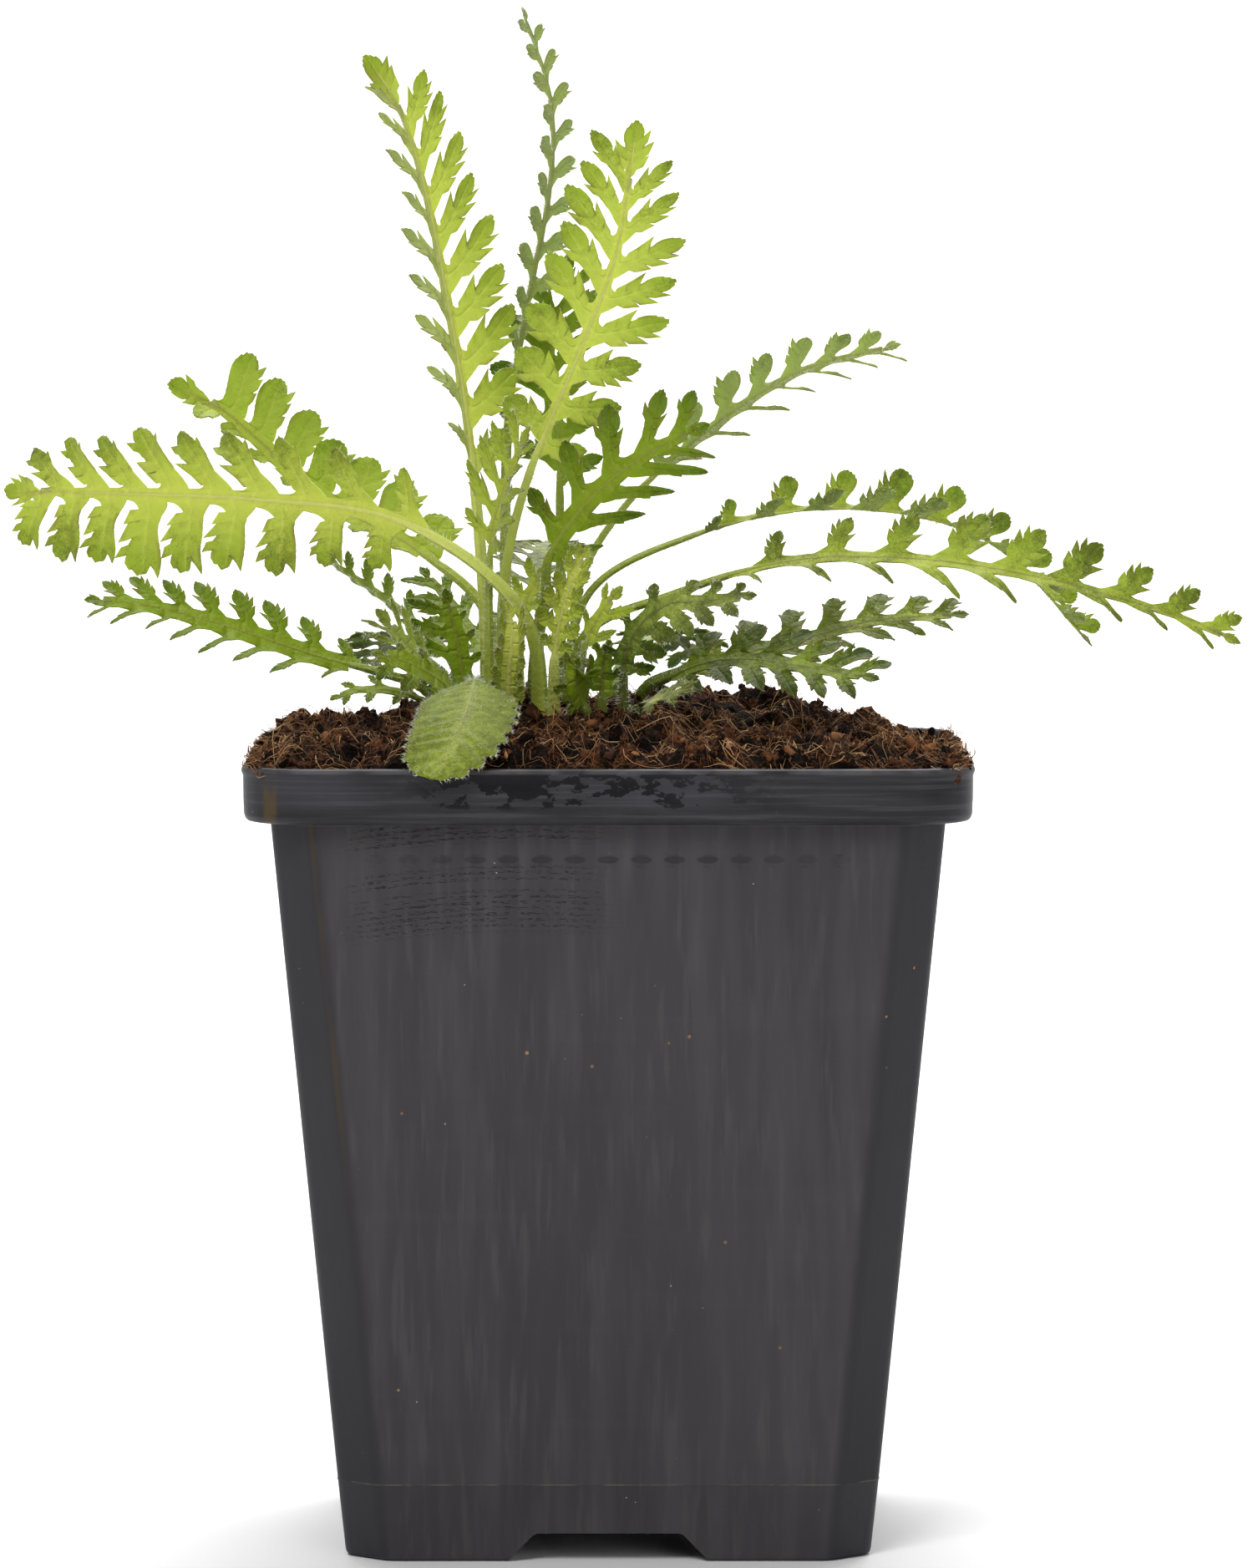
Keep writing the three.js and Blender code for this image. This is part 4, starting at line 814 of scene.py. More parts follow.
def chamfered(half, z, soften=1.6):
    """A square with a flat strip across each corner, rounded on both sides of it."""
    bend = np.array([half, half - CHAMFER])
    strip = np.array([-1, 1]) / np.sqrt(2)
    t = np.linspace(0, 1, CORNER_POINTS // 2)[:, None]
    start, end = bend - [0, soften], bend + strip * soften
    near = (1 - t) ** 2 * start + 2 * t * (1 - t) * bend + t ** 2 * end
    corner = np.concatenate([near, near[::-1, ::-1]])
    return full_ring(quarter_ring(corner, half - CHAMFER - soften, half), z)


def rounded(half, radius, z):
    """A square with round corners, as a ring at a height."""
    angle = np.linspace(0, np.pi / 2, CORNER_POINTS)[:, None]
    corner = half - radius + radius * np.concatenate([np.cos(angle), np.sin(angle)], -1)
    return full_ring(quarter_ring(corner, half - radius, half), z)


def wall_solid(rings):
    """A closed solid through rings."""
    shape = Shape()
    add_tube(shape, np.stack(rings))
    return shape


def round_corners(corners, radii):
    """A polygon with its corners rounded, each by its own radius, six points to an arc."""
    corners = np.array(corners, float)
    line = []
    befores, afters = np.roll(corners, 1, 0), np.roll(corners, -1, 0)
    for corner, radius, before, after in zip(corners, radii, befores, afters):
        back, ahead = unit(before - corner), unit(after - corner)
        half = np.arccos(np.clip(back @ ahead, -1, 1)) / 2
        reach = radius / np.tan(half)
        t = np.linspace(0, 1, 6 if radius else 1)[:, None]
        start, end = corner + back * reach, corner + ahead * reach
        line.append((1 - t) ** 2 * start + 2 * t * (1 - t) * corner + t ** 2 * end)
    return np.concatenate(line)


def prism(corners, radii, length):
    """A bar along Y with a rounded polygon's section."""
    x, z = round_corners(corners, radii).T
    return np.stack([np.stack([x, np.full(len(x), y), z], -1) for y in (length, -length)])


def bare_object(shape, name):
    """A helper object for cutting, which is removed afterwards."""
    mesh = bpy.data.meshes.new(name)
    faces = [face for part in shape.faces for face in part.tolist()]
    mesh.from_pydata((np.concatenate(shape.points) * MM).tolist(), [], faces)
    mesh.update()
    face_outwards(mesh)
    thing = bpy.data.objects.new(name, mesh)
    bpy.context.scene.collection.objects.link(thing)
    return thing


def crossed_bars(bar, name):
    """The same bar twice, front to back and side to side."""
    made = []
    for order in ([0, 1, 2], [1, 0, 2]):
        shape = Shape()
        add_tube(shape, prism(*bar)[..., order])
        made.append(bare_object(shape, name))
    return made


def cut(thing, tools, operation="DIFFERENCE"):
    """Applies booleans to an object's mesh and removes their tools."""
    for tool in tools:
        step = thing.modifiers.new("cut", "BOOLEAN")
        step.operation = operation
        step.solver = "EXACT"
        step.object = tool
    worked_out = thing.evaluated_get(bpy.context.evaluated_depsgraph_get())
    solid = bpy.data.meshes.new_from_object(worked_out)
    thing.modifiers.clear()
    thing.data = solid
    for tool in tools:
        bpy.data.objects.remove(tool)


def dimples(ring, depth):
    """Presses a row of evenly spaced shallow dimples into a ring of the body: the high part of a
    cosine wave along each side, faded out near the corners."""
    x, y = ring[:, 0], ring[:, 1]
    on_x = np.abs(x) > np.abs(y)
    along = np.where(on_x, y, x)
    wave = np.cos(2 * np.pi * along / DIMPLE_SPACING)
    inside = smooth((40 - np.abs(along)) / 2)
    press = depth * np.clip((wave - 0.1) / 0.9, 0, 1) ** 0.6 * inside
    ring = ring.copy()
    ring[:, 0] -= np.where(on_x, np.sign(x) * press, 0)
    ring[:, 1] -= np.where(on_x, 0, np.sign(y) * press)
    return ring


def make_pot():
    """The tapered square pot: flat corner strips, a faint parting line above the foot, a row of
    dimples under a rounded rim band, and channels under the floor with drain holes."""
    foot = [(0, 1.0), (0.12, 0.55), (0.5, 0.15), (1.1, 0)]
    rings = [chamfered(body_half(0) - inset, z) for z, inset in foot]
    side = [(11.7, 0), (PARTING_HEIGHT, -0.08), (12.2, 0), (40, 0), (75, 0), (104, 0)]
    rings += [chamfered(body_half(z) - inset, z) for z, inset in side]
    for z in np.linspace(DIMPLE_HEIGHT - 1, DIMPLE_HEIGHT + 1, 9):
        share = np.sqrt(max(0, 1 - (z - DIMPLE_HEIGHT) ** 2))
        rings.append(dimples(chamfered(body_half(z), z), DIMPLE_DEPTH * share))
    rings += [chamfered(body_half(z), z) for z in (110, 112.6, 113.1)]
    rings.append(chamfered(SHOULDER_HALF + 0.25, SHOULDER))
    lip = [(2.2, 113.6), (1.4, 113.55), (0.75, 113.7), (0.35, 114.05), (0.12, 114.7), (0.02, 117),
           (0, 119.6), (-0.02, 120.5), (-0.14, 120.8), (-0.27, 121.15), (-0.27, 121.5),
           (-0.12, 121.82), (0.2, POT_HEIGHT)]
    rings += [rounded(RIM_HALF - inset, RIM_CORNER - inset, z) for inset, z in lip]
    inner = [(0.95, POT_HEIGHT), (1.3, 121.75), (1.5, 121.2), (1.6, 117.5), (2.4, 116.0)]
    rings += [rounded(RIM_HALF - inset, RIM_CORNER - inset, z) for inset, z in inner]
    rings += [chamfered(body_half(z) - POT_WALL, z) for z in (114.6, 60, 3.0)]
    rings.append(chamfered(body_half(1.5) - POT_WALL - 0.8, 1.5))
    pot = bare_object(wall_solid(rings), "nursery_pot")
    wall = (((-16.0, 0.4), (16.0, 0.4), (12.7, 5.9), (-12.7, 5.9)), (0, 0, 2.2, 2.2), 39.2)
    hollow = (((-16.2, -3), (16.2, -3), (15.4, 0), (11.2, 4.4), (-11.2, 4.4), (-15.4, 0)),
              (0, 0, 1.2, 1.4, 1.4, 1.2), CHANNEL_LENGTH)
    cut(pot, crossed_bars(wall, "bar"), "UNION")
    turn = np.linspace(0, 2 * np.pi, DRAIN_POINTS, endpoint=False)
    tools = crossed_bars(hollow, "channel")
    for x, y in ((0, 0), (DRAIN_APART, 0), (-DRAIN_APART, 0), (0, DRAIN_APART), (0, -DRAIN_APART)):
        drain = Shape()
        circle = [x + DRAIN_RADIUS * np.cos(turn), y + DRAIN_RADIUS * np.sin(turn)]
        add_tube(drain, np.stack([np.stack([*circle, np.full(DRAIN_POINTS, z)], -1) for z in (2, 10)]))
        tools.append(bare_object(drain, "drain"))
    cut(pot, tools)
    pot.data.shade_smooth()
    pot.data.set_sharp_from_angle(angle=np.radians(32))
    return settle(pot, "pot")


# Leaves

RIB_SAMPLES = 60
HAIR = 0.04
HAIRS_PER_LEAFLET = 26
HAIRS_PER_MM = 9
STALK_HALF = 1.05
TIP_TAPER = 0.35
COLUMNS = np.array([-1, -0.68, -0.2, 0, 0.2, 0.68, 1])
BASE_STEPS = 5
EDGE_STEPS = 2

# Half outlines of a leaflet, as corners along it and across it: its front looks to the leaf's tip.
OUTLINES = {
    "toothed": (
        ((0, .45), (.14, .34), (.38, .70), (.31, .28), (.64, 1.0), (.47, .34), (.58, .46), (.69, .57),
         (.78, .54), (.87, .38), (.95, .17), (1, .0)),
        ((0, .6), (.16, .44), (.44, .90), (.37, .46), (.69, 1.0), (.55, .44), (.88, .78), (.72, .38),
         (.81, .46), (.90, .36), (.96, .15), (1, .02))),
    "lobed": (
        ((0, .4), (.13, .32), (.35, .62), (.29, .26), (.62, .96), (.47, .34), (.57, .56), (.69, .74),
         (.80, .68), (.89, .44), (.96, .20), (1, .0)),
        ((0, .7), (.18, .5), (.34, .52), (.42, .56), (.74, 1.0), (.58, .44), (.66, .60), (.76, .68),
         (.85, .58), (.93, .36), (.98, .14), (1, .0))),
    "slim": (
        ((0, .5), (.15, .40), (.39, .86), (.34, .46), (.62, .96), (.55, .54), (.64, .66), (.74, .64),
         (.83, .50), (.91, .30), (.96, .14), (1, .02)),
        ((0, .7), (.2, .5), (.41, .88), (.36, .54), (.60, .98), (.53, .58), (.77, .95), (.68, .54),
         (.80, .52), (.89, .32), (.96, .14), (1, .02))),
    "feather": (
        ((0, .35), (.13, .32), (.36, .72), (.30, .30), (.64, 1.0), (.50, .42), (.60, .54), (.72, .64),
         (.94, .92), (.86, .54), (.95, .46), (1.01, .26)),
        ((0, .9), (.2, .62), (.32, .60), (.40, .60), (.50, .64), (.58, .64), (.70, .76), (.68, .54),
         (.78, .46), (.87, .34), (.95, .16), (1, -.1))),
    "comb": (
        ((0, .35), (.14, .32), (.38, .88), (.29, .32), (.64, 1.0), (.50, .42), (.64, .64), (.86, 1.0),
         (.77, .58), (.90, .66), (.97, .40), (1.01, .10)),
        ((0, .9), (.2, .6), (.32, .56), (.42, .58), (.52, .62), (.62, .66), (.72, .70), (.84, .76),
         (1.04, .72), (.80, .26), (.91, .22), (1, .06))),
    "back_toothed": (
        ((0, .45), (.16, .42), (.26, .50), (.36, .62), (.46, .74), (.56, .84), (.66, .90), (.76, .86),
         (.86, .66), (.93, .40), (.98, .16), (1, .02)),
        ((0, .6), (.16, .48), (.42, .88), (.36, .54), (.66, 1.0), (.57, .66), (.90, .98), (.71, .48),
         (.81, .48), (.90, .34), (.96, .14), (1, .02))),
    "tongue": (
        ((0, .9), (.14, .74), (.25, .74), (.36, .78), (.46, .82), (.56, .86), (.66, .88), (.76, .84),
         (.86, .68), (.93, .44), (.98, .18), (1, .02)),
        ((0, .9), (.16, .72), (.40, .92), (.38, .68), (.64, 1.0), (.60, .72), (.86, 1.0), (.76, .60),
         (.85, .52), (.92, .36), (.97, .15), (1, .02))),
    "needle": (
        ((0, .9), (.13, .66), (.24, .60), (.36, .58), (.48, .56), (.60, .54), (.70, .51), (.79, .46),
         (.87, .37), (.94, .25), (.98, .13), (1, .02)),
        ((0, 1.3), (.16, .82), (.26, .66), (.37, .60), (.48, .57), (.66, .72), (.66, .50), (.76, .45),
         (.85, .36), (.93, .24), (.98, .12), (1, .02))),
    "cupped": (
        ((0, .5), (.15, .5), (.25, .56), (.35, .64), (.46, .74), (.57, .84), (.68, .90), (.78, .88),
         (.87, .70), (.94, .42), (.98, .18), (1, .02)),
        ((0, .7), (.15, .62), (.50, 1.1), (.34, .50), (.78, 1.05), (.52, .42), (.62, .50), (.74, .56),
         (.85, .50), (.93, .32), (.98, .14), (1, .02))),
}


def edge_points(corners):
    """Walks along a half outline: close steps in the foot, then even ones between corners, each
    stretch swelling a little outwards."""
    corners = np.array(corners, float)
    foot = (np.arange(BASE_STEPS) / BASE_STEPS)[:, None] ** 2
    walked = [mix(corners[0], corners[1], foot)]
    share = (np.arange(EDGE_STEPS) / EDGE_STEPS)[:, None]
    for start, end in zip(corners[1:], corners[2:]):
        ahead = end - start
        swell = 0.16 if ahead[0] > 0.04 else 0.0
        bulge = swell * np.array([-ahead[1], ahead[0]]) * np.sin(np.pi * share)
        walked.append(mix(start, end, share) + bulge)
    return np.concatenate(walked + [corners[-1:]])


def rib_line(path):
    """A centripetal Catmull-Rom curve through the path: the share of its length at each point, the
    points, and its length."""
    knots = np.array(path, float)
    knots = np.concatenate([2 * knots[:1] - knots[1:2], knots, 2 * knots[-1:] - knots[-2:-1]])
    gap = np.sqrt(np.linalg.norm(np.diff(knots, axis=0), axis=1))[:, None]
    p0, p1, p2, p3 = knots[:-3], knots[1:-2], knots[2:-1], knots[3:]
    d0, d1, d2 = gap[:-2], gap[1:-1], gap[2:]
    leave = d1 * ((p1 - p0) / d0 - (p2 - p0) / (d0 + d1) + (p2 - p1) / d1)
    reach = d1 * ((p2 - p1) / d1 - (p3 - p1) / (d1 + d2) + (p3 - p2) / d2)
    t = (np.arange(RIB_SAMPLES) / RIB_SAMPLES)[None, :, None]
    p1, p2, leave, reach = (part[:, None] for part in (p1, p2, leave, reach))
    points = (p1 + leave * t + (3 * (p2 - p1) - 2 * leave - reach) * t ** 2
              + (2 * (p1 - p2) + leave + reach) * t ** 3)
    points = np.concatenate([points.reshape(-1, 3), knots[-2:-1]])
    run = np.concatenate([[0], np.cumsum(np.linalg.norm(np.diff(points, axis=0), axis=1))])
    return run / run[-1], points, run[-1]


def rib_frames(leaf, at):
    """The midrib's place, direction, side and upper face at shares of its length."""
    share, points, _ = leaf["rib"]
    at = np.clip(at, 0, 1)
    behind, place, ahead = (
        np.stack([np.interp(spot, share, points[:, axis]) for axis in range(3)], -1)
        for spot in (np.clip(at - 0.004, 0, 1), at, np.clip(at + 0.004, 0, 1)))
    along = unit(ahead - behind)
    face = mix(np.array(leaf["up"][0], float), np.array(leaf["up"][1], float), at[..., None])
    side = unit(np.cross(along, face))
    return place, along, side, unit(np.cross(side, along))


def by_hand(value, hand):
    """A leaf's value for its right or left side, where they differ."""
    return value[0 if hand > 0 else 1] if isinstance(value, tuple) else value


def uneven(index, salt):
    """A steady, uneven number between -1 and 1, which makes leaflets differ."""
    return np.sin(index * 2.4 + salt * 1.7) * np.cos(index * 1.3 + salt * 3.1)


def wing_half(leaf, at):
    """How far the leaf's skirt reaches beside the midrib: less at the stalk and the tip."""
    rise = smooth((at - leaf["stalk"] + 0.04) / 0.16)
    return leaf["wing"] * mix(0.6, 1, rise) * mix(1, 0.5, smooth((at - 0.6) / 0.4))


def leaflet_share(leaf, t):
    """How long a leaflet is: longest at 0.42 of the blade, shorter to its foot and its tip."""
    widest = 0.42
    low = t < widest
    end = np.where(low, leaf["foot"], leaf["head"])
    away = np.where(low, (widest - t) / widest, (t - widest) / (1 - widest))
    return 1 - (1 - end) * away ** 2


def leaflet_cells(leaf, hand):
    """Where each leaflet's stretch of midrib starts and ends."""
    t = np.arange(leaf["leaflets"] + 1) / leaf["leaflets"]
    stations = mix(leaf["stalk"], leaf["blade_end"], mix(t, 1 - (1 - t) ** 2, 0.15))
    shift = 0.4 * (stations[1] - stations[0]) if hand < 0 else 0
    moved = np.minimum(stations + shift, mix(leaf["blade_end"], 1, 0.5))
    return moved[:-1], moved[1:]


def blade_grid(leaf, wing, start, axis, across, upper, size, shape):
    """The middle surface of many leaflets at once, as a grid of leaflet, column and row.

    A row runs from the back edge over the middle vein to the front edge, swept forwards, and a
    column from the wing to the tip. The first row lies inside the midrib and the second on the
    wing's edge, from where round fillets lead into the leaflet. The edges are raised into a cup
    and waved, and the leaflet hangs by its curl."""
    length, broad, curl = size
    front, back = (edge_points(half) for half in OUTLINES[shape])
    rows = len(front)
    order = np.maximum(np.arange(rows) - BASE_STEPS, 0) / (rows - 1 - BASE_STEPS)
    middle = np.where(np.arange(rows) < BASE_STEPS, front[:, 0], mix(front[BASE_STEPS, 0], 1, order))
    away = np.abs(COLUMNS)[:, None]
    edge = np.where(COLUMNS[:, None, None] > 0, front[None], back[None])
    far = mix(middle[None], edge[..., 0], away ** 1.2)[None]
    out = (edge[..., 1] * COLUMNS[:, None])[None]
    length, broad, curl = (part[:, None, None] for part in (length, broad, curl))
    bend = curl * far
    wave = leaf["wave"] * length * away ** 2 * np.sin(9 * far + 5 * start[:, :1, None] + np.sign(out))
    lift = leaf["cup"] * broad * np.abs(out) ** 1.6 + wave * 0.035
    body = (start[:, None, None] + axis[:, None, None] * (length * far * np.cos(bend))[..., None]
            + upper[:, None, None] * (lift - length * far * np.sin(bend))[..., None]
            + across[:, None, None] * (broad * out)[..., None])
    fillet_run = np.where(COLUMNS > 0, 0.26, 0.36)[:, None]
    nearness = 1 - np.clip(middle[None] / fillet_run, 0, 1)
    fillet = (1 - np.sqrt(1 - nearness ** 2))[None, ..., None]
    body = body + (wing[1][:, :, None] - body[:, :, :1]) * fillet
    return np.concatenate([wing[0][:, :, None], body], 2)


def add_blades(shape, leaf, grid, hand, ends):
    """Gives leaflets their thickness and adds them: sunk veins above, raised veins below."""
    count, columns, rows = grid.shape[:3]
    toward = np.gradient(grid, axis=1)
    outward = np.gradient(grid, axis=2)
    normal = unit(np.cross(outward, toward)) * hand
    normal[:, :, -1] = normal[:, :, -2]
    if not ends:
        shared = unit(normal[:-1, -1, :2] + normal[1:, 0, :2])
        normal[:-1, -1, :2] = shared
        normal[1:, 0, :2] = shared
    away = np.abs(COLUMNS)[None, :, None]
    row = np.arange(rows)[None, None, :]
    far = np.clip((row - 1) / (rows - 2), 0, 1)
    teeth = BASE_STEPS + 1 + EDGE_STEPS * np.array([1, 3, 5])
    branch = sum(np.exp(-((row - tooth) / 0.8) ** 2) for tooth in teeth)
    vein = np.clip(np.exp(-(away / 0.12) ** 2) * (1 - 0.5 * far) + branch * (1 - away) * 0.55, 0, 1)
    edge = smooth((away - 0.86) / 0.14) * (far > 0.2) + (row == rows - 1)
    thick = mix(0.15, 0.085, away ** 2) * leaf["stout"] ** 0.3
    above = grid + normal * (thick - 0.05 * vein)[..., None]
    below = grid - normal * (thick + 0.10 * vein)[..., None]
    full = np.broadcast_to(vein, grid.shape[:3])
    zero = np.zeros(grid.shape[:3])
    chance = 0.5 + 0.5 * uneven(np.arange(count), leaf["salt"] + 7 * hand)[:, None, None]
    edge = np.broadcast_to(np.clip(edge, 0, 1), grid.shape[:3])
    place = np.stack([zero + far, zero, zero + chance], -1)
    part = np.stack([zero, zero, zero + leaf["tone_and_shade"]], -1)
    silver = zero + by_hand(leaf["silver"], hand)
    index = np.arange(count * columns * rows).reshape(count, columns, rows)
    quads = grid_faces(columns, rows)[None] + (columns * rows) * np.arange(count)[:, None, None]
    quads = quads.reshape(-1, 4)
    if hand > 0:
        quads = quads[:, ::-1]
    under = quads[:, ::-1] + index.size
    rims = []
    loops = [(index[:, 0, 1:], 1), (index[:, -1, 1:], -1), (index[:, :, -1], 1), (index[:, :, 0], -1)]
    loops += [(index[:1, 0, :2], 1), (index[-1:, -1, :2], -1)]
    for line, way in loops:
        a, b = line[:, :-1].ravel(), line[:, 1:].ravel()
        quad = np.stack([a, b, b + index.size, a + index.size], -1)
        rims.append(quad if way * hand > 0 else quad[:, ::-1])
    face = [np.stack([beneath, full, edge], -1) for beneath in (silver, zero + 1)]
    shape.add(np.stack([above, below]), [quads, under] + rims, leaf_face=np.stack(face),
              leaf_part=np.stack([part, part]), leaf_place=np.stack([place, place]))
    return normal


def add_blade_hairs(shape, leaf, grid, normal):
    """Hairs on the underside and edges of leaflets."""
    count, columns, rows = grid.shape[:3]
    total = int(count * (HAIRS_PER_LEAFLET * leaf["hairs"]))
    pick = CHANCE.integers(0, count, total)
    column = CHANCE.integers(0, columns, total)
    rim = CHANCE.uniform(0, 1, total) < 0.45
    column = np.where(rim, np.where(column < columns / 2, 0, columns - 1), column)
    row = CHANCE.integers(2, rows, total)
    root = grid[pick, column, row]
    centre = grid[pick, columns // 2, np.maximum(row - 3, 0)]
    aside = unit(root - centre) * rim[:, None]
    way = np.where(CHANCE.uniform(0, 1, total) < leaf["below"], 1, -0.8)
    down = -normal[pick, column, row] * way[:, None]
    direction = aside * 1.3 + down * np.where(rim, 0.3, 1)[:, None] + CHANCE.normal(0, 0.45, (total, 3))
    lengths = CHANCE.uniform(0.3, 0.8, total) * leaf["hairs"] ** 0.3
    add_spikes(shape, root, direction, lengths, HAIR, leaf_part=(0, 1, 0))


def leaflets(leaf, hand):
    """All the leaflets on one side of a leaf, as a grid of points."""
    count = leaf["leaflets"]
    index = np.arange(count)
    t = (index + 0.5) / count
    salt = leaf["salt"] + (0 if hand > 0 else 5)
    first, last = leaflet_cells(leaf, hand)
    reach = leaf["reach"] * leaflet_share(leaf, t) * leaf["right" if hand > 0 else "left"]
    length = reach * (1 + 0.12 * uneven(index, salt))
    low_angle, high_angle = leaf["angle"] if hand > 0 else leaf.get("left_angle", leaf["angle"])
    angle = np.radians(mix(low_angle, high_angle, t) + 4 * uneven(index, salt + 1))
    fold = np.radians(by_hand(leaf["fold"], hand) + 7 * uneven(index, salt + 2))[:, None]
    twist = np.radians(by_hand(leaf["twist"], hand) + 7 * uneven(index, salt + 3))[:, None]
    root = mix(first, last, 0.35)
    spacing = (last - first) * leaf["rib"][2]
    broad = np.minimum(by_hand(leaf["broad"], hand) * length, leaf["crowd"] * spacing * np.sin(angle))
    place, along, side, normal = rib_frames(leaf, root)
    start = place + side * hand * wing_half(leaf, root)[:, None]
    outward = side * hand * np.cos(fold) + normal * np.sin(fold)
    upper = normal * np.cos(fold) - side * hand * np.sin(fold)
    cosine, sine = np.cos(angle)[:, None], np.sin(angle)[:, None]
    axis = along * cosine + outward * sine
    across = (along * sine - outward * cosine) * np.cos(twist) + upper * np.sin(twist)
    at = mix(first[:, None], last[:, None], (COLUMNS[None] + 1) / 2)
    rib, _, aside, _ = rib_frames(leaf, at)
    wing = (rib, rib + aside * hand * wing_half(leaf, at)[..., None])
    curl = np.full(count, np.radians(leaf["curl"]))
    size = (length, broad, curl)
    return blade_grid(leaf, wing, start, axis, across, upper, size, by_hand(leaf["shape"], hand))


def tip_leaflet(leaf):
    """The leaflet at the end of the midrib."""
    end = leaf["blade_end"]
    length = np.array([(1 - end) * leaf["rib"][2]])
    start, _, side, normal = rib_frames(leaf, np.array([end]))
    back = np.array([max(end - 0.02, 0)])
    columns = COLUMNS[None, :, None]
    wing = tuple(rib_frames(leaf, at)[0][:, None] + side[:, None] * columns * width
                 for at, width in ((back, 0.3), (np.array([end]), wing_half(leaf, end))))
    broad = np.array([min(0.34 * length[0], leaf["reach"] * 0.3)])
    ahead = unit(rib_frames(leaf, np.array([1.0]))[0] - start)
    upper = unit(normal - ahead * np.sum(normal * ahead, -1, keepdims=True))
    size = (length, broad, np.array([0.0]))
    return blade_grid(leaf, wing, start, ahead, np.cross(upper, ahead), upper, size, leaf["tip"])


def rib_tube(leaf, at, angle):
    """Points and outward directions of the stalk and midrib, at shares of its length and turns
    round it. The stalk is round with a groove above and faint ridges, the midrib flatter."""
    place, along, side, normal = rib_frames(leaf, at)
    taper = mix(1, TIP_TAPER, at) * leaf["stout"]
    blade = smooth((at - leaf["stalk"] + 0.03) / 0.1)
    end = np.sqrt(np.clip((1.0 - at) / 0.12, 0.02, 1))
    foot = 1 + 0.6 * np.exp(-at / 0.08)
    wide = mix(STALK_HALF * foot, 0.52, blade) * taper * end
    up = mix(STALK_HALF * 0.85 * foot, 0.36, blade) * taper * end
    down = mix(STALK_HALF * foot, 0.82, blade) * taper * end
    across, rise = np.cos(angle), np.sin(angle)
    groove = 1 - 0.42 * np.exp(-(((angle - np.pi / 2) / 0.5) ** 2)) * (1 - 0.7 * blade)
    ridge = 1 + 0.045 * np.cos(7 * angle + 3)
    tall = np.where(rise > 0, up * groove, down) * ridge
    offset = side * (across * wide * ridge)[..., None] + normal * (rise * tall)[..., None]
    return place + offset, unit(offset), along


def add_stalk(shape, leaf):
    """Adds the stalk and midrib, with their hairs."""
    rings, around = int(np.clip(leaf["rib"][2] / 1.3, 24, 130)), 14
    at = np.linspace(0, 0.992, rings)[:, None] + np.zeros((1, around))
    angle = np.linspace(0, 2 * np.pi, around, endpoint=False)[None] + np.zeros((rings, 1))
    points = rib_tube(leaf, at, angle)[0]
    beneath = smooth(-np.sin(angle) * 2) * smooth((at - leaf["stalk"]) / 0.05)
    upper = smooth(np.sin(angle) * 1.5) * smooth((at - leaf["stalk"]) / 0.05)
    bare = 1 - 0.12 * smooth((at - leaf["stalk"]) / 0.06)
    zero = np.zeros_like(at)
    add_tube(shape, points, leaf_face=np.stack([beneath, upper, zero], -1),
             leaf_part=np.stack([bare, zero, zero + leaf["tone_and_shade"]], -1),
             leaf_place=np.stack([zero, at, zero + 0.5], -1))
    total = int(leaf["rib"][2] * HAIRS_PER_MM * leaf["hairs"])
    at = CHANCE.uniform(0.02, 0.985, total)
    angle = CHANCE.uniform(0, 2 * np.pi, total)
    angle = np.where(at > leaf["stalk"] + 0.03, np.pi + 0.5 * angle, angle)
    roots, out, along = rib_tube(leaf, at, angle)
    direction = out + along * 0.35 + CHANCE.normal(0, 0.35, (total, 3))
    lengths = CHANCE.uniform(0.35, 1.05, total) * leaf["hairs"] ** 0.35
    add_spikes(shape, roots, direction, lengths, HAIR, leaf_part=(0, 1, 0))


LEAF_DEFAULTS = {
    "stalk": 0.25, "leaflets": 8, "reach": 10, "foot": 0.45, "head": 0.55, "right": 1, "left": 1,
    "angle": (68, 38), "fold": 12, "curl": 12, "twist": 0, "broad": 0.3, "stout": 1, "wing": 1.15,
    "shape": "toothed", "tip": "slim", "cup": 0.2, "wave": 1.0, "hairs": 1.0, "below": 0.8,
    "tone_and_shade": 0.0, "silver": 0, "crowd": 0.48, "tip_reach": 1.0,
}

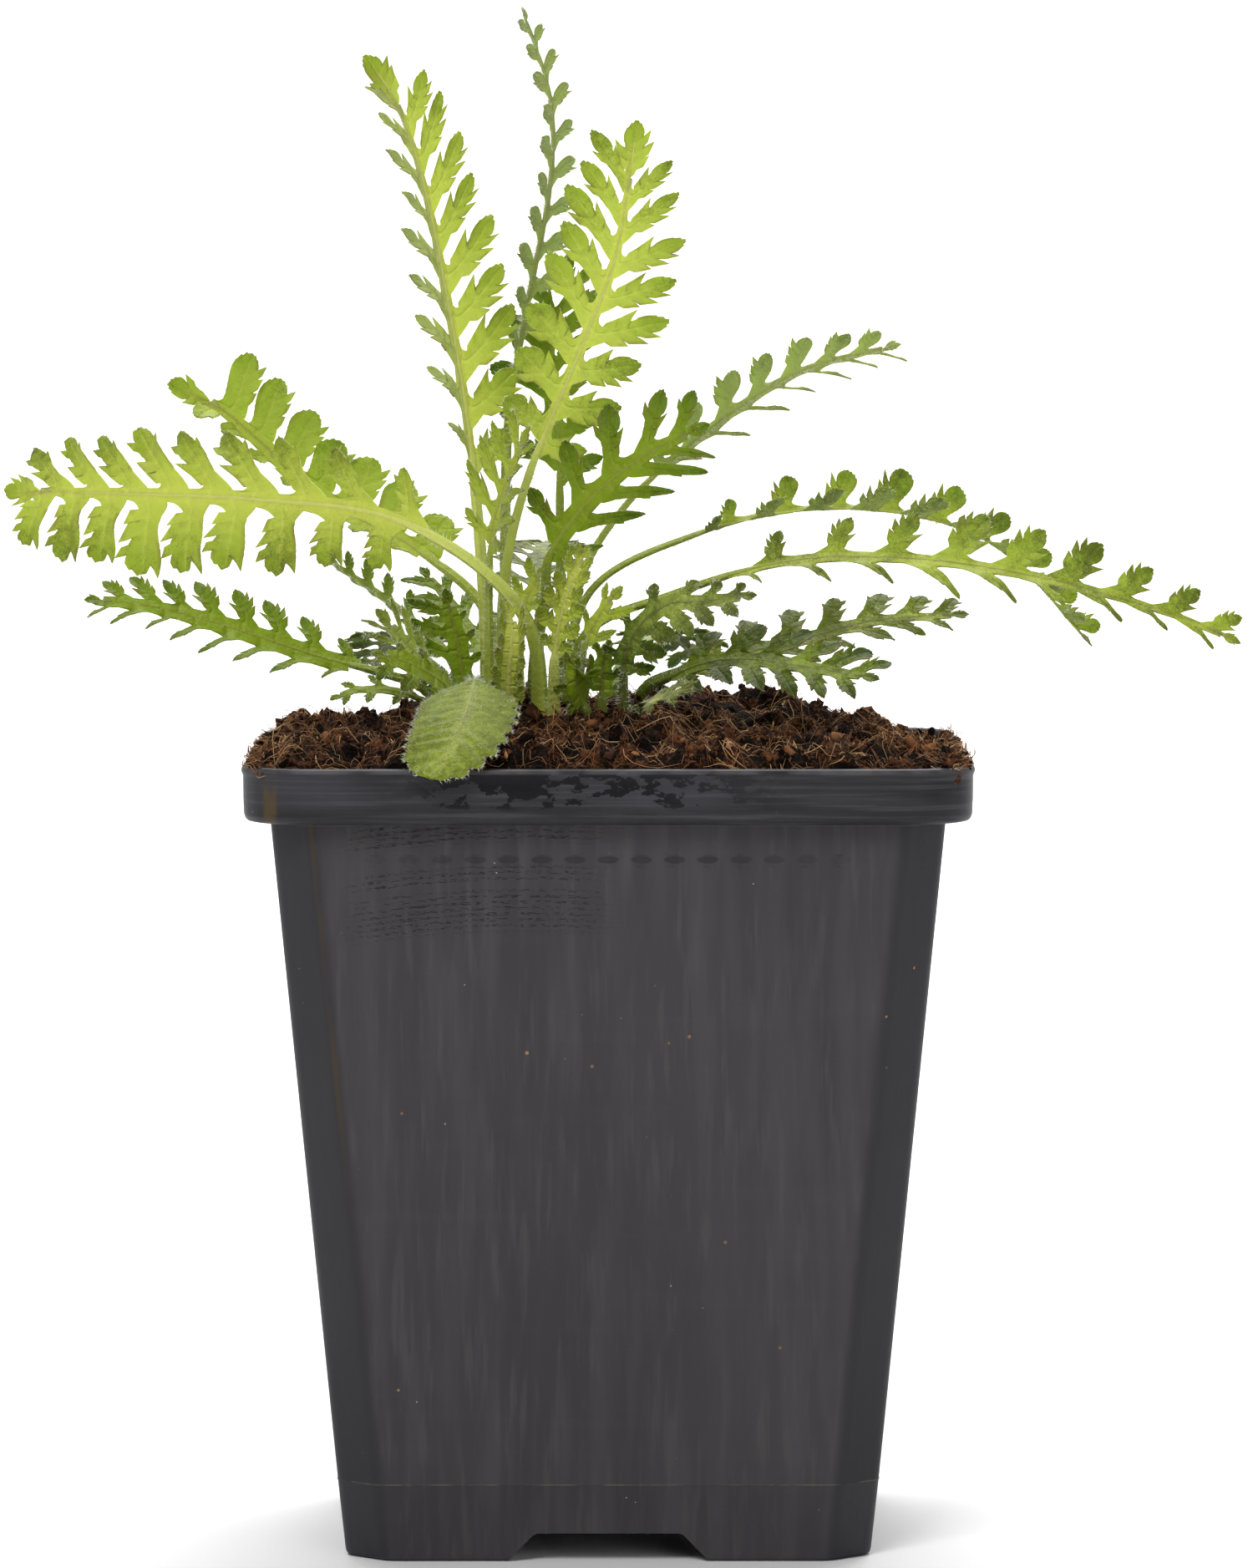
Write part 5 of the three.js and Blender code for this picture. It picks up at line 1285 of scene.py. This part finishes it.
# Every leaf as the model has it, and what the eye sees besides: the leaflets' outline, how hairy
# they are, how much darker the leaf is than its kind, partly its own tone and partly painted shade
# that is deepest on the leaves low in the plant, and how much of its grey underside its leaflets
# turn up. A leaflet's half breadth is at most the share crowd of the space to the next one, and
# tip_reach makes the leaflet at the tip longer. Two values in brackets are for the leaf's right and
# left side.
LEAVES = {
    "left_tall": {
        "path": ((-18.5, 1, 125), (-19.5, 1, 147.5), (-22, 0, 173.5), (-25, -3, 192),
                 (-28.5, -7, 209.5), (-32.5, -10, 222), (-37.5, -12, 229.5)),
        "up": ((0.55, -0.8, 0.1), (0.6, -0.75, 0.3)),
        "stalk": 0.36, "leaflets": 9, "reach": 12.8, "head": 0.68, "fold": 24, "left": 0.74,
        "angle": (62, 36), "twist": (0, -16), "broad": (0.36, 0.24), "wing": 0.85,
        "left_angle": (46, 28), "tone_and_shade": -0.17, "silver": (0, 1), "crowd": 0.56, "tip_reach": 1.7,
    },
    "centre_tall": {
        "path": ((-15.5, 6, 125), (-16, 8, 152.5), (-15.5, 11, 173), (-12.5, 15, 191.5),
                 (-9, 17, 210.5), (-9, 17, 223), (-13.5, 14, 237.5)),
        "up": ((0.95, -0.25, 0.1), (0.9, -0.3, 0.2)),
        "stalk": 0.42, "leaflets": 11, "reach": 5, "fold": (30, -22), "curl": -10, "angle": (60, 42),
        "stout": 1.1, "wing": 0.9, "shape": "back_toothed", "hairs": 2.2, "silver": 0.9, "tone_and_shade": -0.4,
    },
    "right_tall": {
        "path": ((-16.5, -3, 125), (-16, -4, 149), (-12.5, -6, 164), (-5, -9, 182.5), (1, -11, 198),
                 (3.5, -12, 212), (4.5, -12, 219.5)),
        "up": ((0, -1, 0), (0.1, -1, 0.1)),
        "stalk": 0.44, "leaflets": 8, "reach": 11.3, "head": 0.85, "fold": 10, "angle": (75, 35),
        "broad": (0.32, 0.42), "stout": 0.85, "wing": 0.9, "shape": ("toothed", "lobed"),
        "tip": "toothed", "tone_and_shade": 0.05, "crowd": 0.58, "tip_reach": 1.5,
    },
    "back_right": {
        "path": ((-7.5, 5.5, 125.5), (-7.5, 11, 155), (-8, 16, 170.5), (-9.5, 20, 179.5),
                 (-8, 22, 189), (-3, 24, 196.5)),
        "up": ((0, -1, 0.2), (-0.2, -1, 0.3)),
        "stalk": 0.5, "leaflets": 6, "reach": 9, "stout": 0.9, "shape": ("slim", "lobed"),
    },
    "right_diagonal": {
        "path": ((-5, 2.5, 125), (-4.5, 8, 147), (2, 12, 158.5), (14.5, 18, 170), (30, 24, 180),
                 (46.5, 28, 184.5)),
        "up": ((-0.5, 0.8, 0.4), (-0.2, 0.8, 0.7)),
        "stalk": 0.48, "leaflets": 7, "reach": 7, "fold": 14, "left": 1.2, "angle": (70, 45),
        "twist": (0, -45), "broad": (0.34, 0.2), "stout": 0.7, "wing": 1, "left_angle": (38, 24),
        "shape": ("back_toothed", "slim"), "hairs": 1.4,
    },
    "right_arch_high": {
        "path": ((-7.5, 0, 125), (-3, 2, 146), (13.5, 6, 155), (31.5, 10, 159), (50, 14, 157.5),
                 (62.5, 16, 152), (76.5, 18, 137)),
        "up": ((0, -0.45, 1), (0.3, -0.3, 1)),
        "stalk": 0.36, "leaflets": 9, "reach": 6.5, "fold": 50, "curl": -8, "angle": (80, 45),
        "broad": 0.38, "stout": 0.65, "wing": 0.8, "shape": "cupped", "hairs": 1.2, "tone_and_shade": 0.3,
    },
    "right_arch_low": {
        "path": ((-7, -5, 125), (-3.5, -8, 140), (10, -14, 146.5), (28, -22, 152), (47, -28, 152.5),
                 (67, -31, 149.5), (86.5, -32, 144), (96.4, -32, 139.8)),
        "up": ((0, -0.7, 0.9), (0.1, -0.8, 0.8)),
        "stalk": 0.34, "leaflets": 9, "reach": 7.5, "fold": (10, 34), "left": 1.1, "angle": (46, 24),
        "broad": (0.16, 0.36), "stout": 0.75, "wing": 1.1, "left_angle": (75, 45),
        "shape": ("needle", "toothed"), "hairs": 1.2, "tone_and_shade": 0.4,
    },
    "left_long": {
        "path": ((-10.5, -7, 125), (-12, -11, 141), (-19, -13.5, 150), (-33.5, -8, 158),
                 (-54, 4, 160.5), (-75, 18, 161), (-96.5, 36, 161)),
        "up": ((-0.4, -0.9, 0.3), (-0.4, -0.9, 0.3)),
        "stalk": 0.32, "leaflets": 9, "reach": 12, "head": 0.82, "fold": 6, "angle": (48, 36),
        "broad": (0.21, 0.42), "right": 1.22, "left": 0.9, "wing": 1.25, "left_angle": (98, 80),
        "shape": ("feather", "comb"), "tip": "toothed", "tone_and_shade": 0.1, "crowd": 0.6, "tip_reach": 1.3,
    },
    "left_high": {
        "path": ((-17, 7.6, 125.5), (-19.5, 12.5, 143), (-30.5, 16, 152.5), (-44.5, 20, 160),
                 (-55.5, 22, 169.5), (-61.5, 22, 174.5), (-69.5, 20, 178.5)),
        "up": ((0, -0.5, 0.9), (0, -0.9, 0.5)),
        "stalk": 0.36, "leaflets": 7, "reach": 8.6, "foot": 0.6, "head": 1.15, "fold": (30, 56),
        "angle": (84, 66), "broad": (0.5, 0.34), "stout": 0.9, "wing": 1.6, "left": 0.6,
        "shape": "tongue", "tip": "lobed", "tone_and_shade": -0.02, "crowd": 0.56, "tip_reach": 1.25,
    },
    "left_low": {
        "path": ((-23, -2, 124), (-29, -3, 131.5), (-35, -4, 133.8), (-44.5, -8, 136.5),
                 (-53, -11, 139.5), (-62, -14, 142.5), (-71.5, -18, 145), (-80.5, -20, 146)),
        "up": ((0, -0.8, 0.7), (0, -0.8, 0.7)),
        "stalk": 0.3, "leaflets": 8, "reach": 6.5, "angle": (72, 46), "twist": (0, -40),
        "broad": (0.34, 0.22), "stout": 0.75, "wing": 1.8, "left_angle": (42, 32),
        "shape": ("toothed", "slim"), "hairs": 1.5,
    },
    "left_curled": {
        "path": ((-21, 2.8, 125), (-25, 6, 136), (-29.5, 8, 140.5), (-36.5, 8, 146), (-41.5, 6, 149.5),
                 (-46.5, 4, 153)),
        "up": ((0.3, -0.6, 0.7), (0.3, -0.6, 0.7)),
        "stalk": 0.4, "leaflets": 6, "reach": 3.8, "fold": 30, "curl": -10, "angle": (62, 46),
        "stout": 0.8, "wing": 0.8, "hairs": 2.0,
    },
    "left_folded": {
        "path": ((-21.3, -6.4, 124.5), (-24.5, -11, 131.5), (-28, -14, 134.5), (-32, -16, 136.5),
                 (-36.5, -17, 137.5)),
        "up": ((0, -0.5, 0.8), (0, -0.8, 0.6)),
        "stalk": 0.36, "leaflets": 3, "reach": 4.6, "right": 0.5, "left": 1.1, "fold": 8,
        "angle": (70, 52), "broad": 0.46, "wing": 2.2, "hairs": 2.4, "tone_and_shade": 0.2,
    },
    "left_ground": {
        "path": ((-22.5, -4.6, 123.5), (-26, -7, 128), (-30.5, -9, 130.6), (-35, -10.5, 131.6),
                 (-39.5, -12.5, 131.5), (-43, -14, 130.2)),
        "up": ((0, -0.6, 0.8), (0, -0.6, 0.8)),
        "stalk": 0.4, "leaflets": 3, "reach": 3, "stout": 0.8, "wing": 0.9,
    },
    "centre_folded": {
        "path": ((-18.5, -6, 125), (-18.5, -9, 146), (-18, -12, 155.5), (-15.5, -15, 164.5),
                 (-12, -17, 172.5)),
        "up": ((-0.75, -0.6, 0.2), (-0.75, -0.6, 0.4)),
        "stalk": 0.56, "leaflets": 5, "reach": 9, "fold": 32, "broad": 0.24, "stout": 0.85,
        "hairs": 1.8,
    },
    "back_left": {
        "path": ((-13, 8, 124), (-17.5, 15, 133.5), (-22.5, 22, 140), (-25.5, 26, 144),
                 (-30, 30, 149)),
        "up": ((0, -0.5, 0.9), (0, -0.5, 0.9)),
        "stalk": 0.35, "leaflets": 4, "reach": 6, "stout": 0.85, "shape": ("lobed", "slim"),
    },
    "centre_front": {
        "path": ((-11.5, -2, 125), (-11.2, -6.5, 137), (-9.6, -10.5, 146), (-9.2, -14, 152),
                 (-4, -18, 160), (4.5, -21, 167.5), (15.5, -23, 173)),
        "up": ((0, -0.9, 0.3), (0, -0.9, 0.4)),
        "stalk": 0.46, "leaflets": 5, "reach": 10, "right": 1.1, "angle": (46, 30),
        "broad": (0.15, 0.26), "wing": 1.7, "left_angle": (72, 44), "shape": ("needle", "lobed"),
        "tone_and_shade": 0.1,
    },
    "young_bright": {
        "path": ((-15, -7, 125), (-15.5, -12, 132.5), (-15, -15, 138), (-14.9, -16, 142),
                 (-15.6, -16.4, 145.5)),
        "up": ((0, -1, 0.1), (0, -1, 0.1)),
        "stalk": 0.2, "leaflets": 6, "reach": 4.6, "foot": 0.9, "head": 0.9, "angle": (24, 14),
        "broad": 0.22, "fold": 38, "curl": -8, "wing": 1.3, "hairs": 1.8, "stout": 1.2,
        "tone_and_shade": -0.15, "crowd": 0.9,
    },
    "young_right": {
        "path": ((-8.4, -8, 124), (-8.2, -14, 137.5), (-7.2, -17, 143.5), (-5.8, -19, 148.2),
                 (-4.2, -20, 151.8), (-3, -21, 154.3)),
        "up": ((0, -1, 0.3), (0, -1, 0.3)),
        "stalk": 0.4, "leaflets": 6, "reach": 5.0, "angle": (42, 26), "fold": 26, "curl": -10,
        "broad": 0.34, "wing": 0.9, "hairs": 1.6, "tone_and_shade": -0.05, "crowd": 0.8,
    },
    "young_back": {
        "path": ((-4.6, -6.5, 124.5), (-4.3, -12.2, 134), (-3.3, -17, 139.5), (-0.8, -19, 144.2),
                 (2.2, -21, 148)),
        "up": ((0, -1, 0.3), (0, -1, 0.5)),
        "stalk": 0.6, "leaflets": 2, "reach": 4.8, "head": 0.8, "left": 0.6, "angle": (42, 34),
        "broad": 0.22, "stout": 0.8, "wing": 1.2, "hairs": 2.2, "shape": "slim",
    },
    "ground_silver": {
        "path": ((2.6, -6.5, 123), (2.4, -12, 132.5), (3, -16.5, 138.2), (5.8, -19, 142.8),
                 (9.4, -20.5, 145.2), (13.8, -21.7, 145.7), (22.8, -23.6, 146.8)),
        "up": ((0, -0.9, 0.5), (0, -0.8, 0.6)),
        "stalk": 0.3, "leaflets": 6, "reach": 5.4, "foot": 0.6, "left": 0.6, "angle": (76, 42),
        "broad": 0.4, "stout": 0.8, "wing": 1.5, "hairs": 1.8, "shape": ("slim", "lobed"), "tone_and_shade": 0.6,
    },
    "ground_dark": {
        "path": ((2.5, -2, 123), (5.5, -4, 131), (9.5, -6.5, 133.3), (16, -10, 135.9),
                 (22.5, -14, 136.4), (30, -19, 135.6), (41.5, -26, 134)),
        "up": ((0, -0.7, 0.8), (0, -0.7, 0.8)),
        "stalk": 0.28, "leaflets": 6, "reach": 7.6, "foot": 0.6, "angle": (52, 34), "broad": (0.3, 0.4),
        "stout": 0.85, "wing": 1.6, "left_angle": (72, 44), "tone_and_shade": 0.55, "shape": ("slim", "cupped"),
    },
    "ground_right": {
        "path": ((4, 3, 123), (5.5, 2.5, 131), (10, 3, 133.4), (16.5, 4.5, 135), (23, 8, 136.7),
                 (31, 12, 138.4), (41.5, 15, 141), (57, 18, 142)),
        "up": ((0, -0.7, 0.8), (0, -0.7, 0.8)),
        "stalk": 0.24, "leaflets": 7, "reach": 6.4, "foot": 0.7, "angle": (42, 26),
        "broad": (0.24, 0.4), "stout": 0.8, "wing": 1.3, "left_angle": (76, 46),
        "shape": ("slim", "feather"), "tone_and_shade": 0.75,
    },
    "small_front": {
        "path": ((3.5, -7, 123), (5.2, -13.5, 129.4), (8, -18, 130.8), (13, -22, 132)),
        "up": ((0, -0.6, 1), (0, -0.8, 1)),
        "stalk": 0.45, "leaflets": 3, "reach": 3.4, "broad": 0.45, "stout": 0.8, "wing": 1.5,
        "tone_and_shade": 0.9,
    },
    "round_centre": {
        "path": ((-1.5, -7.5, 124.5), (-4.2, -14.5, 130.5), (-5, -18, 134), (-4.4, -21, 137)),
        "up": ((0, -0.8, 0.6), (0, -0.8, 0.6)),
        "stalk": 0.4, "leaflets": 3, "reach": 3.8, "left": 0.7, "fold": 4, "angle": (66, 50),
        "broad": 0.5, "wing": 2, "shape": "lobed",
    },
    "round_right": {
        "path": ((-0.9, -5.5, 124), (-1, -9, 131), (-0.8, -11.5, 135.5), (0.3, -13, 139.5)),
        "up": ((0, -0.9, 0.4), (0, -0.9, 0.4)),
        "stalk": 0.4, "leaflets": 3, "reach": 3.2, "left": 0.7, "fold": 6, "angle": (62, 46),
        "broad": 0.5, "wing": 1.6, "shape": "lobed", "tip": "lobed", "tone_and_shade": 0.45,
    },
    "young_fork": {
        "path": ((-13.6, -5.2, 124.5), (-13.6, -7.2, 138), (-13, -8.2, 144.5), (-11.4, -9.2, 148),
                 (-9.4, -10, 151)),
        "up": ((0, -1, 0.3), (0, -1, 0.3)),
        "stalk": 0.68, "leaflets": 2, "reach": 3.6, "head": 0.8, "angle": (50, 38), "broad": 0.3,
        "stout": 0.8, "wing": 1.1, "hairs": 1.6, "tone_and_shade": -0.05,
    },
    "left_fan": {
        "path": ((-20, -2.5, 124.5), (-27, -6.5, 135), (-30.8, -7.5, 138), (-33.3, -8, 140.8),
                 (-36, -8.5, 144)),
        "up": ((0.3, -0.8, 0.5), (0.3, -0.8, 0.5)),
        "stalk": 0.56, "leaflets": 3, "reach": 5.6, "head": 0.9, "angle": (38, 22), "fold": 24,
        "broad": 0.26, "wing": 1.3, "hairs": 3, "shape": "slim", "tone_and_shade": 0.2,
    },
    "left_dark": {
        "path": ((-18.8, -1.5, 124.5), (-22.4, -1.2, 132.5), (-23.4, -2, 138), (-24.3, -3, 142.5),
                 (-25.4, -4, 147)),
        "up": ((0, -1, 0.2), (0, -1, 0.2)),
        "stalk": 0.26, "leaflets": 4, "reach": 7, "foot": 0.8, "right": 0.3, "left": 1.1, "broad": 0.34,
        "wing": 1.5, "left_angle": (70, 54), "shape": ("slim", "toothed"), "hairs": 1.6, "tone_and_shade": 0.3,
    },
    "back_low_left": {
        "path": ((-20, 6.8, 124.5), (-22.5, 12.5, 133.5), (-34, 37, 137.5), (-38, 57, 131.5)),
        "up": ((0, 0.2, 1), (0, 0.2, 1)),
        "stalk": 0.3, "leaflets": 7, "reach": 7.5, "broad": 0.26, "stout": 0.8, "tone_and_shade": 0.5,
    },
    "back_low_right": {
        "path": ((-1, 3, 125.5), (2, 13, 134.5), (10, 36, 138), (16, 56, 131)),
        "up": ((0, 0.2, 1), (0, 0.2, 1)),
        "stalk": 0.3, "leaflets": 7, "reach": 7.5, "broad": 0.26, "stout": 0.8,
    },
    "back_centre": {
        "path": ((-10.5, 6.5, 125), (-11, 20, 142), (-11, 38, 151), (-9, 57, 152)),
        "up": ((0, -0.2, 1), (0, -0.2, 1)),
        "stalk": 0.35, "leaflets": 8, "reach": 8.5, "broad": 0.26, "stout": 0.85,
        "shape": ("toothed", "lobed"), "tone_and_shade": 0.75, "hairs": 0.4,
    },
}


def make_frond(name, salt):
    """One leaf: its stalk and midrib, the leaflets on both sides, the one at its tip, and hairs."""
    leaf = {**LEAF_DEFAULTS, **LEAVES[name], "salt": salt}
    leaf["rib"] = rib_line(leaf["path"])
    tip = min((0.5 * leaf["reach"] * leaf["head"] + 1.2) * leaf["tip_reach"], 0.16 * leaf["rib"][2])
    leaf["blade_end"] = 1 - tip / leaf["rib"][2]
    shape = Shape()
    for hand in (1, -1):
        grid = leaflets(leaf, hand)
        normal = add_blades(shape, leaf, grid, hand, False)
        add_blade_hairs(shape, leaf, grid, normal)
    grid = tip_leaflet(leaf)
    normal = add_blades(shape, leaf, grid, 1, True)
    add_blade_hairs(shape, leaf, grid, normal)
    add_stalk(shape, leaf)
    return shape.piece("fine_" + name, "frond_" + name, weld=True, sharp=55)


HANG_TEETH = 12.5
HANG_QUILT = 0.4
HANG_ROWS = 96
HANG_COLUMNS = 33
HANG_HAIRS = 2200
HANGING = {
    **LEAF_DEFAULTS,
    "path": ((-19, -6.5, 126.4), (-20.5, -17, 132.2), (-20.5, -32, 133.5), (-21.5, -46, 130),
             (-23, -54, 126.1), (-26.6, -60, 120.9)),
    "up": ((0, -0.3, 1), (0, -0.6, 1)),
    "stalk": 0.38, "reach": 6.95, "fold": -4, "salt": 3, "hairs": 2.6, "below": 0.12, "tone_and_shade": 0.33,
}


def hanging_grid(leaf, t, across):
    """The undivided front leaf: broad almost to its blunt tip, with rounded forward teeth, quilted
    between side veins that sweep forwards, and a little folded along its midrib."""
    away = np.abs(across)
    sweep = 0.10 * away ** 1.3
    run = 2 * t ** np.where(across > 0, 1.3, 0.95) - 1
    round_tip = np.sqrt(np.maximum(1 - np.abs(run) ** np.where(across > 0, 4.0, 2.0), 0))
    half = leaf["reach"] * round_tip * mix(0.25, 1, smooth(t / 0.4))
    phase = np.mod(t * HANG_TEETH + 0.25 * (across > 0), 1.0)
    tooth = np.where(phase < 0.75, (phase / 0.75) ** 0.6, ((1 - phase) / 0.25) ** 0.8)
    half = half + (1.3 * tooth - 0.5) * away ** 4 * smooth(t * 8) * smooth((1 - t) * 12)
    at = mix(leaf["stalk"], 1, np.clip(t - sweep * (1 - t) * 0.2, 0, 1))
    place, _, side, normal = rib_frames(leaf, at)
    swell = np.sin(np.pi * np.mod(t * HANG_TEETH - 1.4 * away, 1.0))
    quilt = HANG_QUILT * swell * smooth(away * 3) * (1 - 0.5 * away ** 3)
    lift = -0.07 * half * away + quilt - 0.10 * half * away ** 3
    return place + side * (across * half)[..., None] + normal * lift[..., None], quilt


def make_hanging():
    """The hairy leaf that hangs over the front rim."""
    leaf = dict(HANGING)
    leaf["rib"] = rib_line(leaf["path"])
    shape = Shape()
    t = np.linspace(0.0, 1, HANG_ROWS)[None, None, :]
    across = np.linspace(-1, 1, HANG_COLUMNS)[None, :, None]
    t, across = np.broadcast_arrays(t, across)
    grid, quilt = hanging_grid(leaf, t, across)
    normal = unit(np.cross(np.gradient(grid, axis=1), np.gradient(grid, axis=2)))
    normal[..., -1, :] = normal[..., -2, :]
    normal[..., 0, :] = normal[..., 1, :]
    away = np.abs(across)
    valley = 0.6 * (HANG_QUILT - quilt) / HANG_QUILT * smooth(away * 4)
    vein = np.clip(np.exp(-(away / 0.08) ** 2) + valley, 0, 1)
    edge = smooth((away - 0.9) / 0.1) * 0.3
    columns, rows = HANG_COLUMNS, HANG_ROWS
    count = columns * rows
    index = np.arange(count).reshape(columns, rows)
    quads = grid_faces(columns, rows)
    loop = np.concatenate([index[:-1, 0], index[-1, :-1], index[:0:-1, -1], index[0, :0:-1]])
    after = np.roll(loop, -1)
    rim = np.stack([loop, after, after + count, loop + count], -1)
    look = [np.stack([0 * away + beneath, vein, edge], -1) for beneath in (0, 1)]
    place = np.stack([0.6 + 0.4 * away, t, 0.5 + 0 * away], -1)
    half_thick = 0.16
    shape.add(np.stack([grid + normal * half_thick, grid - normal * half_thick]),
              [quads, quads[:, ::-1] + count, rim[:, ::-1]], leaf_face=np.stack(look),
              leaf_part=(0, 0, leaf["tone_and_shade"]), leaf_place=np.stack([place, place]))
    total = HANG_HAIRS
    pick_t, pick_a = CHANCE.uniform(0.02, 0.99, total), CHANCE.uniform(-1, 1, total)
    pick_a = np.where(CHANCE.uniform(0, 1, total) < 0.35, pick_a ** 3 * 0.4, pick_a)
    pick_a = np.where(CHANCE.uniform(0, 1, total) < 0.5, np.sign(pick_a), pick_a)
    row = np.round(pick_t * (rows - 1)).astype(int)
    column = np.round((pick_a + 1) / 2 * (columns - 1)).astype(int)
    roots, up = grid[0, column, row], normal[0, column, row]
    side = unit(roots - grid[0, columns // 2, np.maximum(row - 3, 0)])
    way = np.where(CHANCE.uniform(0, 1, total) < 0.6, 1, -1)[:, None]
    at_edge = (np.abs(pick_a) > 0.98)[:, None]
    direction = up * way + side * 1.2 * at_edge + CHANCE.normal(0, 0.5, (total, 3))
    add_spikes(shape, roots, direction, CHANCE.uniform(0.3, 0.85, total), HAIR, leaf_part=(0, 1, 0))
    add_stalk(shape, leaf)
    return shape.piece("fine_hanging_leaf", "leaf_hang_front", weld=True, sharp=55)


# Floor

def make_floor():
    """A pale sheet that runs flat under the pot and curves up behind it, along a profile."""
    turn = np.linspace(0, np.pi / 2, 16)
    y = np.concatenate([[-4.0, -1.0, 0.5], 1.6 + 1.0 * np.sin(turn), [2.6]])
    z = np.concatenate([[0.0, 0.0, 0.0], 1.0 - 1.0 * np.cos(turn), [3.4]])
    x = np.array([-4.0, 4.0])
    points = np.stack(np.broadcast_arrays(x[None], y[:, None], z[:, None]), -1)
    mesh = bpy.data.meshes.new("floor")
    mesh.from_pydata(points.reshape(-1, 3).tolist(), [], grid_faces(len(y), 2).tolist())
    mesh.shade_smooth()
    mesh.materials.append(floor_finish("pale_floor"))
    floor = bpy.data.objects.new("floor", mesh)
    bpy.context.scene.collection.objects.link(floor)


add_camera()
add_studio()
make_floor()
make_pot()
make_soil()
make_litter()
make_crown()
for salt, name in enumerate(LEAVES):
    make_frond(name, salt)
make_hanging()
